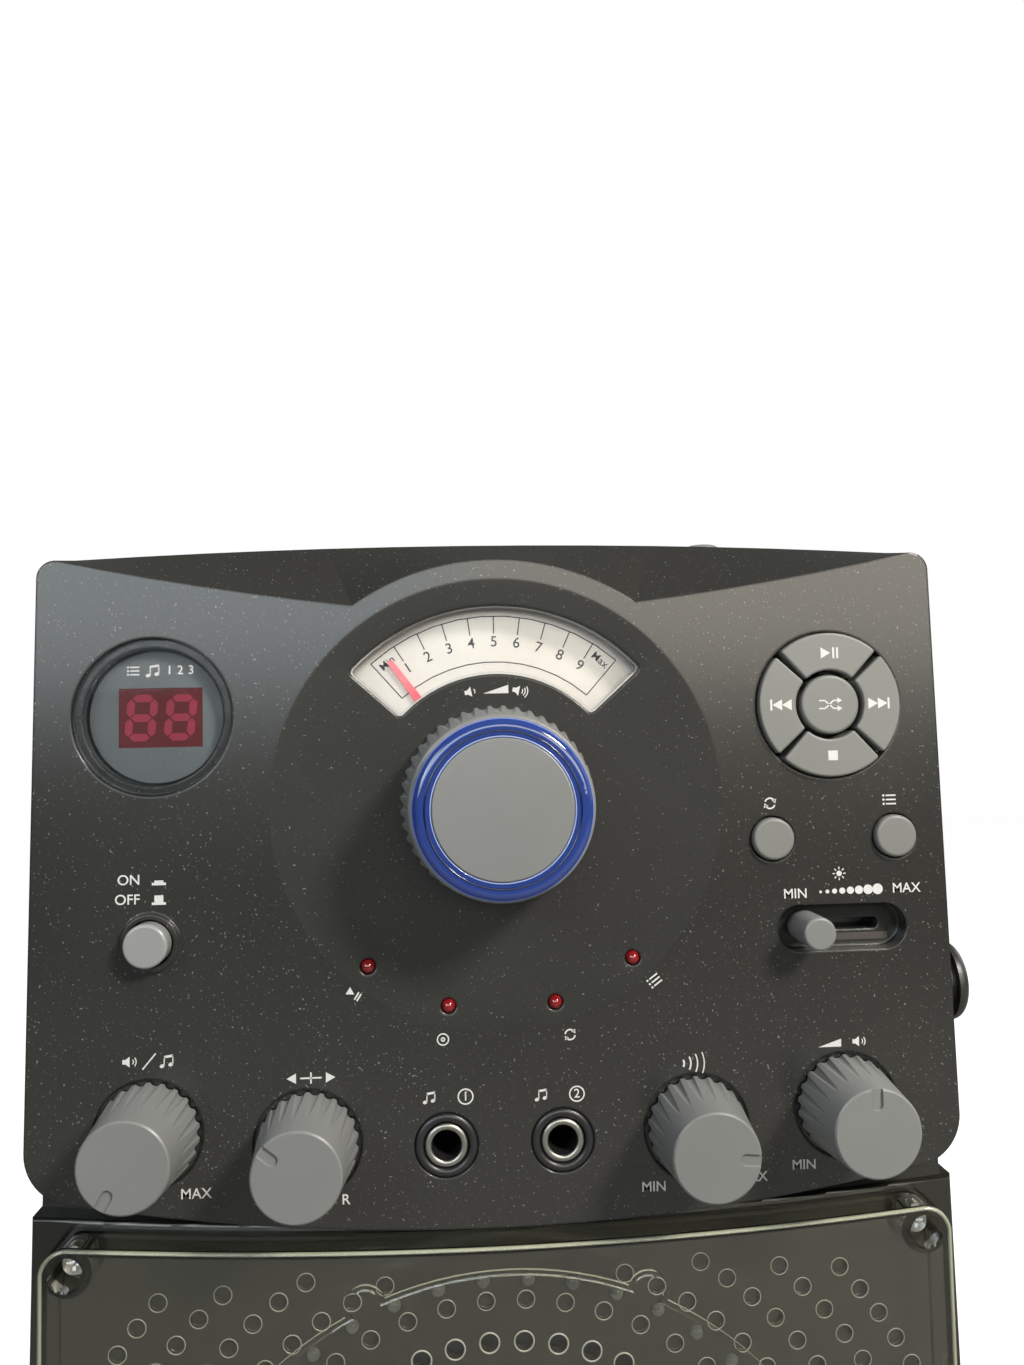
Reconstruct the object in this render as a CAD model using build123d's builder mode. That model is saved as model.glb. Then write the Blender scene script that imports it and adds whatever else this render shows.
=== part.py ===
from build123d import *
import os
from math import cos, degrees, pi, radians, sin, sqrt, tan

os.makedirs("parts", exist_ok=True)

# A table-top karaoke machine.  Millimetres, +Z up, the front looks along -Y, x = 0 is the plane
# midway between the side walls and z = 0 is the table.  The control panel fills the upper front,
# a clear cover over a perforated baffle fills the lower front, and the disc goes in at the top.

# ------------------------------------------------------------------ driving dimensions
# cabinet
crown_height = 330.0
crown_radius = 1740.0
base_half_width = 107.0
crown_half_width = 102.0
face_y = -95.0
back_y = 95.0
shell_wall = 2.6
front_wall = 3.0
rear_cover_thickness = 3.0
deck_drop = 22.0
base_corner = 8.0
crown_corner = 4.0
foot_height = 8.0
foot_radius = 9.0
foot_inset_x = 22.0
foot_inset_y = 24.0

# control panel
panel_depth = 16.0
panel_inset = 2.0
panel_wall = 3.0
panel_side_wall = 2.8
knob_drop = 60.0
scoop_depth = 12.0
ear_up = 56.2
ear_sag = 0.9
kink_x = 31.75
arch_radius = 54.7
panel_bottom_drop = 91.6
panel_bottom_radius = 480.0
panel_bottom_corner = 11.0
dish_radius = 50.3
dish_depth = 3.0
dish_wall = 2.5
panel_screw_boss_radius = 3.4
panel_screw_pilot_radius = 1.2

# control positions on the panel, measured right of and above the main knob's axis
voice_at = (-76.3, -68.7)
balance_at = (-42.5, -72.1)
echo_at = (42.5, -72.1)
microphone_at = (76.3, -68.7)
jack_one_at = (-12.7, -73.6)
jack_two_at = (12.7, -73.6)
display_at = (-75.3, 20.6)
power_at = (-75.8, -28.2)
keypad_at = (75.5, 20.5)
repeat_at = (61.6, -9.4)
program_at = (89.7, -9.4)
slider_at = (76.9, -29.5)

# main knob
main_base_radius = 21.8
main_shoulder_radius = 19.4
main_height = 22.0
main_flutes = 44
main_flute_depth = 0.75
light_ring_outer = 18.4
light_ring_inner = 14.6
light_ring_depth = 5.0
light_ring_round = 1.6
main_cap_radius = 14.5
main_cap_thickness = 2.4
main_shaft_radius = 3.0
main_foot_gap = 0.7

# small knobs
small_base_radius = 10.9
small_face_radius = 9.2
small_height = 17.4
small_flutes = 22
small_flute_depth = 0.7
small_recess_depth = 1.0
small_shaft_radius = 3.0
notch_width = 2.4
notch_length = 4.4
notch_depth = 0.5

# dial, pointer and gear train
window_inner = 28.9
window_outer = 44.3
window_half_angle = 48.0
window_corner = 1.2
scale_inner = 26.0
scale_outer = 48.4
scale_half_angle = 52.0
scale_thickness = 0.8
pointer_reach = 40.4
pointer_width = 1.3
pointer_thickness = 0.6
pointer_rest_angle = 36.5
gear_module = 0.8
small_teeth = 12
large_teeth = 24
tooth_backlash = 0.30
tooth_height_share = 0.72
pointer_gear_thickness = 1.6
drive_gear_thickness = 1.8
gear_spacing = 0.8
sleeve_radius = 4.6
sleeve_length = 2.3
axle_radius = 1.25
gear_plate_thickness = 1.2

# display
lens_radius = 17.0
lens_flat_radius = 14.2
lens_rise = 1.3
lens_seat_depth = 1.2
lens_hole_radius = 15.2
module_width = 25.0
module_height = 19.0
module_face_depth = 4.4

# keys and buttons
keypad_radius = 16.3
keypad_gap = 1.1
center_key_radius = 6.7
round_key_radius = 4.7
key_rise = 1.5
key_clearance = 0.4
key_flange = 1.2
key_flange_thickness = 1.0
key_travel = 0.6
plunger_radius = 1.6
power_radius = 4.7
power_rise = 4.2
power_travel = 2.5
collar_width = 1.2
collar_rise = 0.8

# light-level slider
slot_length = 29.6
slot_width = 10.2
slot_depth = 4.2
slot_floor = 1.6
slider_cap_radius = 3.6
slider_rise = 8.0
slider_travel = 15.8
slider_stem_width = 1.8
slider_slit_width = 2.6

# lamps and sockets
status_radius = 45.5
status_angles = (40.0, 15.0, -15.0, -40.0)
status_lamp_radius = 1.5
jack_ring_radius = 7.0
jack_bush_radius = 4.75
jack_bore_radius = 3.21
jack_length = 24.0
jack_body_half = 7.0

# boards
board_depth = 13.0
board_thickness = 1.6
board_half_width = 93.0
board_low = -80.0
board_high = 36.0
pot_half = 8.5

# baffle, light cover and speaker
speaker_drop = 180.2
baffle_setback = 10.0
baffle_plate = 2.5
baffle_gap = 1.5
cover_drop = 95.6
cover_radius = 1100.0
cover_bottom = 13.0
cover_half_width = 99.5
cover_wall = 2.0
cover_corner = 6.0
cover_edge_round = 1.0
cover_boss_radius = 5.2
cover_screw_bore = 3.7
cover_screw_seat = 2.4
cover_screw_radius = 1.5
cover_screw_head = 2.9
cover_screw_head_height = 2.2
screw_recess_arm = 3.2
screw_recess_width = 0.8
screw_recess_depth = 1.2
ridge_radius = 79.0
ridge_width = 1.2
ridge_height = 0.8
ridge_boss_radius = 4.6
ridge_boss_angles = (23.0, 140.0, 220.0, 337.0)
hole_radius = 2.1
dimple_depth = 1.2
dimple_radius = 2.0
through_rings = ((13.75, 11), (22.9, 18), (32.05, 26), (41.2, 32), (50.35, 40), (59.5, 48))
dimple_rings = ((68.6, 48), (77.8, 62), (86.9, 76), (96.1, 84), (105.2, 96))
dimple_limit_x = 93.0
dimple_limit_up = 75.2
dimple_limit_down = 72.5
lamp_ring_radius = 73.2
lamp_count = 45
lamp_radius = 1.5
lamp_proud = 1.2
light_board_inner = 64.0
light_board_outer = 78.0
speaker_opening = 62.0
speaker_flange_radius = 67.0
speaker_depth = 52.0
cone_radius = 59.0
basket_sheet = 1.6
basket_slot_length = 30.0
basket_slot_width = 12.0
basket_slot_count = 6
magnet_radius = 34.0
magnet_bore_radius = 13.0
magnet_thickness = 14.0
pole_radius = 12.0

# top: disc tray, lid and mechanism
opening_half_width = 76.0
opening_front_y = -63.0
frame_wall = 2.0
ledge = 4.0
ledge_thickness = 2.0
tray_height = 9.0
tray_clearance = 0.3
well_radius = 62.0
well_depth = 7.0
well_y = 8.0
finger_radius = 11.0
lid_clearance = 0.6
lid_skin = 2.4
lid_axis_drop = 5.0
lid_axis_y = 80.0
lid_pin_radius = 1.5
lid_pin_length = 1.9
lid_window_radius = 50.0
lid_window_lap = 4.0
lid_window_thickness = 1.5
thumb_scoop_radius = 14.0
thumb_scoop_out = 4.0
lid_button_at = (53.5, -70.7)
lid_button_radius = 4.5
lid_button_rise = 2.4
lid_button_flange = 0.9
lid_button_flange_thickness = 1.2
lid_button_flange_gap = 0.5
lid_button_length = 12.0
turntable_radius = 14.5
disc_bore_radius = 7.45
spindle_radius = 1.0
pickup_start = 25.0
pickup_travel = 35.0
pickup_half = 6.5
rod_radius = 1.5
rod_spread = 17.0
rod_drop = 7.0
sled_half_width = 8.5
sled_half_thickness = 3.5
lug_width = 4.0
lug_depth = 8.0
lug_gap = 1.0
chassis_drop = 4.0
chassis_thickness = 2.0
chassis_low_x = -48.0
chassis_high_x = 78.0
chassis_half_y = 36.0
post_radius = 3.0
post_inset = 5.0
motor_radius = 11.0
motor_height = 11.0
motor_floor = 2.0
disc_lift = 2.6
turntable_thickness = 2.0
hub_height = 3.4
hub_chamfer = 1.0
lens_drop = 3.6
lens_height = 1.4
lens_radius_pickup = 2.2

# side peg, rear face
peg_drop = 48.6
peg_setback = 27.0
peg_radius = 9.6
peg_stem_radius = 7.8
peg_reach = 11.6
peg_head = 3.0
socket_height = 150.0
socket_spacing = 16.0
socket_body = 12.0
socket_collar_radius = 4.9
socket_ring_radius = 4.15
socket_pin_length = 8.0
socket_bore_radius = 1.6
socket_bore_depth = 10.0
inlet_at = (62.0, 150.0)
inlet_width = 9.0
inlet_height = 11.0
inlet_bore_radius = 2.8
inlet_bore_depth = 9.0
inlet_pin_radius = 1.0
main_board_setback = 10.0
main_board_thickness = 1.6
main_board_width = 130.0
main_board_height = 70.0
main_board_x = 10.0
vent_height = 238.0
vent_length = 70.0
vent_width = 4.0
vent_start = 22.0
vent_spacing = 9.0
vent_count = 6
rear_screw_rows = ((95.0, 22.0), (93.5, 160.0), (92.0, 296.0))
rear_screw_length = 11.0
rear_boss_radius = 3.6
rear_boss_length = 12.0
rear_boss_round = 1.0

# clearances
running = 0.05
loose = 0.3

# ------------------------------------------------------------------ derived places
knob_z = crown_height - knob_drop
front_wall_y = face_y + panel_depth
deck_base = crown_height - deck_drop
shell_back_y = back_y - rear_cover_thickness
panel_back = face_y + panel_wall
speaker_z = knob_z - speaker_drop
baffle_y = face_y + baffle_setback
cover_top = knob_z - cover_drop
dish_floor_y = face_y + dish_depth
dish_back_y = dish_floor_y + dish_wall
dish_sphere = (dish_radius ** 2 + dish_depth ** 2) / (2 * dish_depth)


def half_width(z):
    """Half the cabinet's width at height z: the side walls lean in towards the top."""
    return base_half_width - (base_half_width - crown_half_width) * z / crown_height


def crown_z(x, below=0.0):
    """Height of the arched top, or of a surface parallel to it, at x."""
    return crown_height - crown_radius + sqrt((crown_radius - below) ** 2 - x ** 2)


def bowed_z(x, middle_z, radius):
    """Height of an edge that sags to middle_z at x = 0 and rises towards the sides."""
    return middle_z + radius - sqrt(radius ** 2 - x ** 2)


def facing(y, x=0.0, z=0.0):
    """Plane that looks out of the front: local x to the right, local y up."""
    return Plane(origin=(x, y, z), x_dir=(1, 0, 0), z_dir=(0, -1, 0))


def on_panel(y, at=(0.0, 0.0)):
    """Front-looking plane centred on a control, at is (right, up) from the main knob's axis."""
    return facing(y, at[0], knob_z + at[1])


def ring_sector(inner, outer, half_angle, corner=0.0):
    """Sketch of a slice of a ring, symmetric about straight up."""
    reach = 2 * outer
    side = reach * sin(radians(half_angle))
    rise = reach * cos(radians(half_angle))
    with BuildSketch() as slice_of_ring:
        Circle(outer)
        Circle(inner, mode=Mode.SUBTRACT)
        with BuildLine():
            Polyline((0, 0), (side, rise), (0, max(reach, rise)), (-side, rise), close=True)
        make_face(mode=Mode.INTERSECT)
        if corner:
            fillet(slice_of_ring.vertices(), corner)
    return slice_of_ring.sketch


def gear(teeth, phase, bore):
    """Sketch of a spur gear with straight-sided teeth, one tooth at phase degrees."""
    pitch_radius = gear_module * teeth / 2
    root = pitch_radius - gear_module
    tip = pitch_radius + gear_module * tooth_height_share
    half_tooth = (pi * gear_module / 2 - tooth_backlash) / 2
    slope = tan(radians(20))
    half_root = half_tooth + slope * (pitch_radius - root)
    half_tip = half_tooth - slope * (tip - pitch_radius)
    with BuildSketch() as wheel:
        Circle(root)
        with PolarLocations(0, teeth, start_angle=phase):
            Polygon((root * 0.9, -half_root), (tip, -half_tip), (tip, half_tip),
                    (root * 0.9, half_root), align=None)
        Circle(bore, mode=Mode.SUBTRACT)
    return wheel.sketch


def finish(piece, name):
    """Label a finished piece and write it as its own file."""
    piece.part.label = name
    export_step(piece.part, "parts/" + name + ".step")


# ------------------------------------------------------------------ cabinet
def trapezoid(bottom, top, inset=0.0):
    """Cabinet outline between two heights as a closed polyline, inset from the sides."""
    low = half_width(bottom) - inset
    high = half_width(top) - inset
    Polyline((-low, bottom), (low, bottom), (high, top), (-high, top), close=True)


def low_corners(sketch):
    """The two lowest corners of a sketch, for rounding."""
    return sketch.vertices().sort_by(Axis.Y)[:2]


# the outer tub: base, two side walls and a front wall that carries panel, baffle and speaker
with BuildPart() as cabinet_shell:
    with BuildSketch(facing(front_wall_y)) as tub:
        with BuildLine():
            trapezoid(foot_height, deck_base)
        make_face()
        fillet(low_corners(tub), base_corner)
    extrude(amount=-(shell_back_y - front_wall_y))
    with BuildSketch(facing(front_wall_y + front_wall)) as hollow:
        with BuildLine():
            trapezoid(foot_height + shell_wall, deck_base + shell_wall, shell_wall)
        make_face()
        fillet(low_corners(hollow), base_corner - shell_wall)
    extrude(amount=-(shell_back_y - front_wall_y), mode=Mode.SUBTRACT)
    with BuildSketch(facing(front_wall_y)):
        with Locations((0, knob_z + (board_low + board_high) / 2)):
            RectangleRounded(2 * board_half_width - 2, board_high - board_low - 4, 6)
        with Locations((0, speaker_z)):
            Circle(speaker_opening)
        with Locations(*[(at[0], knob_z + at[1]) for at in (jack_one_at, jack_two_at)]):
            Rectangle(2 * jack_body_half + 1, 2 * jack_body_half + 1)
    extrude(amount=-front_wall, mode=Mode.SUBTRACT)
finish(cabinet_shell, "cabinet_shell")


# feet: four rubber pads under the base
def foot_places():
    x = half_width(foot_height) - foot_inset_x
    return [(sx * x, y) for sx in (-1, 1) for y in (front_wall_y + foot_inset_y, back_y - foot_inset_y)]


with BuildPart() as rubber_feet:
    with Locations(*[(x, y, 0) for x, y in foot_places()]):
        Cylinder(foot_radius, foot_height, align=(Align.CENTER, Align.CENTER, Align.MIN))
    chamfer(rubber_feet.faces().sort_by(Axis.Z)[:4].edges(), 1.0)
finish(rubber_feet, "rubber_feet")

# side peg: a mushroom-headed stud on the right wall
peg_z = knob_z - peg_drop
peg_foot_x = half_width(peg_z - peg_stem_radius) + 0.02
with BuildPart() as side_peg:
    peg_foot = Plane(origin=(peg_foot_x, face_y + peg_setback, peg_z), x_dir=(0, 1, 0), z_dir=(1, 0, 0))
    with BuildSketch(peg_foot):
        Circle(peg_stem_radius)
    extrude(amount=peg_reach - peg_head)
    with BuildSketch(peg_foot.offset(peg_reach - peg_head)):
        Circle(peg_radius)
    extrude(amount=peg_head)
    fillet(side_peg.faces().sort_by(Axis.X)[-1].edges(), peg_head * 0.8)
finish(side_peg, "side_peg")


# ------------------------------------------------------------------ control panel
def panel_edge(corner_z, shoulder_z, kink_z, apex_z):
    """Closed panel outline; its top runs from the corner over shoulder, kink and apex."""
    bottom_z = knob_z - panel_bottom_drop
    low_x = half_width(bottom_z) - panel_inset
    low_z = bowed_z(low_x, bottom_z, panel_bottom_radius)
    high_x = half_width(knob_z + ear_up) - panel_inset
    mid_x = (high_x + kink_x) / 2
    Line((-low_x, low_z), (-high_x, corner_z))
    ThreePointArc((-high_x, corner_z), (-mid_x, shoulder_z), (-kink_x, kink_z))
    ThreePointArc((-kink_x, kink_z), (0, apex_z), (kink_x, kink_z))
    ThreePointArc((kink_x, kink_z), (mid_x, shoulder_z), (high_x, corner_z))
    Line((high_x, corner_z), (low_x, low_z))
    ThreePointArc((low_x, low_z), (0, bottom_z), (-low_x, low_z))


def panel_face_edge():
    """Outline of the flat face: two ears, dropping to the kinks beside the arch over the dish."""
    corner_z = knob_z + ear_up
    kink_z = knob_z + sqrt(arch_radius ** 2 - kink_x ** 2)
    panel_edge(corner_z, (corner_z + kink_z) / 2 - ear_sag, kink_z, knob_z + arch_radius)


def panel_rear_edge():
    """Outline at the back of the scooped top, where it follows the crown."""
    high_x = half_width(knob_z + ear_up) - panel_inset
    panel_edge(crown_z(high_x), crown_z((high_x + kink_x) / 2), crown_z(kink_x), crown_z(0))


def dish_y(radius):
    """How far back the dish's surface lies at a distance from the knob's axis."""
    return face_y + dish_depth - dish_sphere + sqrt(dish_sphere ** 2 - radius ** 2)


def status_places():
    return [(status_radius * sin(radians(a)), -status_radius * cos(radians(a))) for a in status_angles]


boss_x = half_width(knob_z) - panel_inset - panel_side_wall - 5.0
panel_boss_places = [(sx * boss_x, up) for sx in (-1, 1) for up in (46.0, 4.0, -50.0)] + [(0.0, -84.6)]
small_knob_places = (voice_at, balance_at, echo_at, microphone_at)
window_face_y = dish_y(window_inner)
scale_boss_angle = scale_half_angle - 2.5
scale_boss_radius = 1.3
pointer_gear_y = dish_back_y + loose
scale_y = pointer_gear_y + pointer_thickness + 0.4

with BuildPart() as control_panel:
    with BuildSketch(facing(face_y)):
        with BuildLine():
            panel_face_edge()
        make_face()
    with BuildSketch(facing(face_y + scoop_depth)):
        with BuildLine():
            panel_rear_edge()
        make_face()
    loft(ruled=True)
    extrude(control_panel.faces().sort_by(Axis.Y)[-1], amount=panel_depth - scoop_depth)
    side_edges = control_panel.edges().filter_by(lambda e: abs(e.tangent_at(0.5).Y) > 0.9)
    outer_edges = side_edges.filter_by(lambda e: abs(e.center().X) > kink_x + 20)
    low_edges = outer_edges.filter_by(lambda e: e.center().Z < knob_z)
    high_edges = outer_edges.filter_by(lambda e: e.center().Z > knob_z)
    fillet(low_edges, panel_bottom_corner)
    fillet(high_edges, crown_corner)
    # hollow back, with a thicker pad behind the dish
    with BuildSketch(facing(panel_back)) as cavity:
        with BuildLine():
            panel_face_edge()
        make_face()
        offset(amount=-panel_side_wall)
        fillet(low_corners(cavity), panel_bottom_corner - panel_side_wall)
    extrude(amount=-panel_depth, mode=Mode.SUBTRACT)
    with BuildSketch(on_panel(panel_back)):
        Circle(arch_radius - panel_side_wall)
    extrude(amount=-(dish_back_y - panel_back))
    with Locations((0, dish_floor_y - dish_sphere, knob_z)):
        Sphere(dish_sphere, mode=Mode.SUBTRACT)
    # pads and bosses behind the face
    slot_back_y = face_y + slot_depth + slot_floor
    with BuildSketch(on_panel(panel_back, slider_at)):
        Rectangle(slot_length + 5, slot_width + 5)
    extrude(amount=-(slot_back_y - panel_back))
    with BuildSketch(facing(panel_back, 0, knob_z)):
        with Locations(*panel_boss_places):
            Circle(panel_screw_boss_radius)
    extrude(amount=-(panel_depth - panel_wall))
    with BuildSketch(on_panel(dish_back_y)):
        Circle(sleeve_radius)
    extrude(amount=-sleeve_length)
    with BuildSketch(on_panel(dish_back_y)):
        with Locations(*[(sx * 38 * sin(radians(scale_boss_angle)), 38 * cos(radians(scale_boss_angle)))
                         for sx in (-1, 1)]):
            Circle(scale_boss_radius)
    extrude(amount=-(scale_y - dish_back_y))
    # raised collar round the power button
    with BuildSketch(on_panel(face_y, power_at)):
        Circle(power_radius + key_clearance + collar_width)
    extrude(amount=collar_rise)
    # blind seats in the face
    with BuildSketch(on_panel(face_y, display_at)):
        Circle(lens_radius + loose)
    extrude(amount=-lens_seat_depth, mode=Mode.SUBTRACT)
    with BuildSketch(on_panel(face_y)):
        with Locations(*small_knob_places):
            Circle(small_base_radius + 0.8)
        with Locations(jack_one_at, jack_two_at):
            Circle(jack_ring_radius)
    extrude(amount=-small_recess_depth, mode=Mode.SUBTRACT)
    with BuildSketch(on_panel(face_y, slider_at)):
        SlotOverall(slot_length, slot_width)
    extrude(amount=-slot_depth, mode=Mode.SUBTRACT)
    # seat for the dial window's flange, from behind
    with BuildSketch(on_panel(dish_back_y)):
        add(ring_sector(window_inner - 2, window_outer + 2, window_half_angle + 3, window_corner))
    extrude(amount=lens_seat_depth, mode=Mode.SUBTRACT)
    # openings right through the face
    with BuildSketch(on_panel(face_y - collar_rise)):
        with Locations(display_at):
            Circle(lens_hole_radius)
        with Locations(keypad_at):
            Circle(keypad_radius + key_clearance)
        with Locations(repeat_at, program_at):
            Circle(round_key_radius + key_clearance)
        with Locations(power_at):
            Circle(power_radius + key_clearance)
        with Locations(slider_at):
            SlotOverall(slider_travel + 4.0, slider_slit_width)
        with Locations(*status_places()):
            Circle(status_lamp_radius + 0.2)
        with Locations(jack_one_at, jack_two_at):
            Circle(jack_bush_radius + 0.2)
        with Locations(*small_knob_places):
            Circle(small_shaft_radius + 0.4)
        Circle(main_shaft_radius + 0.4)
        add(ring_sector(window_inner, window_outer, window_half_angle, window_corner))
    extrude(amount=-(panel_depth / 2 + collar_rise), mode=Mode.SUBTRACT)
    # pilot holes for the screws that hold the panel from inside
    with BuildSketch(facing(front_wall_y, 0, knob_z)):
        with Locations(*panel_boss_places):
            Circle(panel_screw_pilot_radius)
    extrude(amount=panel_depth / 2, mode=Mode.SUBTRACT)
finish(control_panel, "control_panel")

# ------------------------------------------------------------------ main knob, pointer and gears
main_foot_y = dish_y(main_base_radius) - main_foot_gap
main_face_y = face_y - main_height
ring_foot_y = main_face_y + light_ring_depth
cap_seat_radius = light_ring_inner - 2.4
pinion_y = pointer_gear_y + pointer_gear_thickness + gear_spacing
gear_plate_y = pinion_y + drive_gear_thickness + 0.4
center_distance = gear_module * (small_teeth + large_teeth) / 2
half_large_pitch = 180.0 / large_teeth
pot_back_y = front_wall_y + 10.0


def flutes(base_radius, top_radius, height, depth, cutter, count):
    """Cut grooves round a tapered skirt, deepest at its foot and fading out at its top."""
    low = base_radius + cutter - depth
    high = top_radius + cutter * 0.4
    lean = degrees((low - high) / height)
    with Locations((0, 0, height / 2)):
        with PolarLocations((low + high) / 2, count):
            Cone(cutter, cutter * 0.4, height * 1.02, rotation=(0, -lean, 0), mode=Mode.SUBTRACT)


# grey skirt: a fluted, tapering ring pressed on the shaft
with BuildPart(on_panel(main_foot_y)) as main_knob_skirt:
    skirt_height = main_foot_y - ring_foot_y
    with BuildSketch(on_panel(main_foot_y)):
        Circle(main_base_radius)
    with BuildSketch(on_panel(ring_foot_y)):
        Circle(main_shoulder_radius)
    loft()
    fillet(main_knob_skirt.faces().sort_by(Axis.Y)[0].edges(), 0.6)
    flutes(main_base_radius, main_shoulder_radius, skirt_height, main_flute_depth, 1.35, main_flutes)
    with BuildSketch(on_panel(main_foot_y)):
        Circle(main_base_radius - 3.5)
        Circle(main_shaft_radius + 3.0, mode=Mode.SUBTRACT)
    extrude(amount=skirt_height - 3.0, mode=Mode.SUBTRACT)
    with BuildSketch(on_panel(main_foot_y)):
        Circle(main_shaft_radius)
    extrude(amount=skirt_height, mode=Mode.SUBTRACT)
finish(main_knob_skirt, "main_knob_skirt")

# translucent ring that glows round the cap
with BuildPart() as main_knob_ring:
    with BuildSketch(on_panel(ring_foot_y)):
        Circle(light_ring_outer)
        Circle(cap_seat_radius, mode=Mode.SUBTRACT)
    extrude(amount=light_ring_depth - 0.4)
    rim = main_knob_ring.edges().group_by(Axis.Y)[0].sort_by(SortBy.LENGTH)[-1]
    fillet(rim, light_ring_round)
    with BuildSketch(on_panel(main_face_y)):
        Circle(light_ring_inner)
    extrude(amount=-main_cap_thickness, mode=Mode.SUBTRACT)
    lip = main_knob_ring.edges().group_by(Axis.Y)[0].sort_by(SortBy.LENGTH)[0]
    chamfer(lip, 0.5)
finish(main_knob_ring, "main_knob_ring")

# flat cap with a short spigot inside the ring
with BuildPart() as main_knob_cap:
    with BuildSketch(on_panel(main_face_y + main_cap_thickness)):
        Circle(main_cap_radius)
    extrude(amount=main_cap_thickness)
    fillet(main_knob_cap.edges().group_by(Axis.Y)[0], 0.35)
    with BuildSketch(on_panel(main_face_y + main_cap_thickness)):
        Circle(cap_seat_radius - running)
    extrude(amount=-(light_ring_depth - main_cap_thickness))
finish(main_knob_cap, "main_knob_cap")

# shaft from the skirt through the panel to the pot, with the driving pinion on it
with BuildPart() as main_shaft:
    with BuildSketch(on_panel(pot_back_y - 2.0 - loose)):
        Circle(main_shaft_radius)
    extrude(amount=pot_back_y - 2.0 - loose - ring_foot_y)
    with BuildSketch(on_panel(pinion_y + drive_gear_thickness)):
        add(gear(small_teeth, -90.0, main_shaft_radius * 0.9))
    extrude(amount=drive_gear_thickness)
finish(main_shaft, "main_shaft")

# pointer: a gear riding on the panel's sleeve, with a thin arm out to the scale
with BuildPart() as dial_pointer:
    with BuildSketch(on_panel(pointer_gear_y + pointer_gear_thickness)):
        add(gear(large_teeth, -90.0 + half_large_pitch, sleeve_radius + running))
    extrude(amount=pointer_gear_thickness)
    with BuildSketch(on_panel(pointer_gear_y + pointer_thickness)):
        with PolarLocations(0, 1, start_angle=90 + pointer_rest_angle):
            Polygon((sleeve_radius + 1, -1.5), (pointer_reach, -pointer_width / 2),
                    (pointer_reach, pointer_width / 2), (sleeve_radius + 1, 1.5), align=None)
    extrude(amount=pointer_thickness)
finish(dial_pointer, "dial_pointer")

# idler: two gears moulded as one, turning on the gear plate's axle below the main shaft
with BuildPart() as idler_gear:
    idler_at = (0, -center_distance)
    with BuildSketch(on_panel(pinion_y + drive_gear_thickness, idler_at)):
        add(gear(large_teeth, 90.0 + half_large_pitch, axle_radius + running))
    extrude(amount=drive_gear_thickness)
    with BuildSketch(on_panel(pinion_y, idler_at)):
        add(gear(small_teeth, 90.0, axle_radius + running))
    extrude(amount=pinion_y - pointer_gear_y)
finish(idler_gear, "idler_gear")

# gear plate: carries the idler's axle and stands on the control board
board_face_y = front_wall_y - board_thickness
with BuildPart() as gear_plate:
    with BuildSketch(on_panel(gear_plate_y + gear_plate_thickness)):
        with Locations((0, -center_distance / 2)):
            SlotOverall(center_distance + 22, 17, rotation=90)
        Circle(main_shaft_radius + 0.4, mode=Mode.SUBTRACT)
    extrude(amount=gear_plate_thickness)
    with BuildSketch(on_panel(gear_plate_y, idler_at)):
        Circle(axle_radius)
    extrude(amount=gear_plate_y - dish_back_y)
    with BuildSketch(on_panel(gear_plate_y + gear_plate_thickness)):
        with Locations((0, 8), (-6, -center_distance), (6, -center_distance)):
            Circle(1.6)
    extrude(amount=-(board_face_y - gear_plate_y - gear_plate_thickness))
finish(gear_plate, "gear_plate")

# pot behind the board
with BuildPart() as main_volume_pot:
    with BuildSketch(on_panel(front_wall_y)):
        RectangleRounded(24, 24, 2)
        Circle(main_shaft_radius + running, mode=Mode.SUBTRACT)
    extrude(amount=-(pot_back_y - 2.0 - front_wall_y))
    with BuildSketch(on_panel(pot_back_y)):
        RectangleRounded(24, 24, 2)
    extrude(amount=2.0)
finish(main_volume_pot, "main_volume_pot")

# printed scale behind the pointer
with BuildPart() as dial_scale:
    with BuildSketch(on_panel(scale_y + scale_thickness)):
        add(ring_sector(scale_inner, scale_outer, scale_half_angle, 1.0))
    extrude(amount=scale_thickness)
finish(dial_scale, "dial_scale")

# clear window with a flange seated from behind
with BuildPart() as dial_window:
    with BuildSketch(on_panel(dish_back_y - 0.1)):
        add(ring_sector(window_inner - 1.8, window_outer + 1.8, window_half_angle + 2.6, window_corner))
    extrude(amount=lens_seat_depth - 0.1)
    with BuildSketch(on_panel(dish_back_y - lens_seat_depth)):
        add(ring_sector(window_inner + 0.12, window_outer - 0.12, window_half_angle - 0.2, window_corner))
    extrude(amount=dish_back_y - lens_seat_depth - window_face_y)
    chamfer(dial_window.edges().group_by(Axis.Y)[0], 0.5)
finish(dial_window, "dial_window")


# ------------------------------------------------------------------ small knobs and their pots
def small_knob(at, turn, name):
    """A fluted knob with a moulded shaft; its notch stands turn degrees clockwise from straight up."""
    foot_y = face_y + small_recess_depth - 0.5
    height = foot_y - (face_y - small_height)
    with BuildPart(on_panel(foot_y, at)) as knob:
        with BuildSketch(on_panel(foot_y, at)):
            Circle(small_base_radius)
        with BuildSketch(on_panel(face_y - small_height, at)):
            Circle(small_face_radius)
        loft()
        chamfer(knob.edges().group_by(Axis.Y)[0], 0.35)
        flutes(small_base_radius, small_face_radius + 0.4, height * 0.8, small_flute_depth, 1.3, small_flutes)
        with BuildSketch(on_panel(face_y - small_height, at)):
            with PolarLocations(small_face_radius, 1, start_angle=90 - turn):
                SlotOverall(2 * notch_length, notch_width)
        extrude(amount=-notch_depth, mode=Mode.SUBTRACT)
        with BuildSketch(on_panel(foot_y, at)):
            Circle(small_shaft_radius)
        extrude(amount=-(board_face_y - 2.4 - foot_y))
    finish(knob, name)


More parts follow.
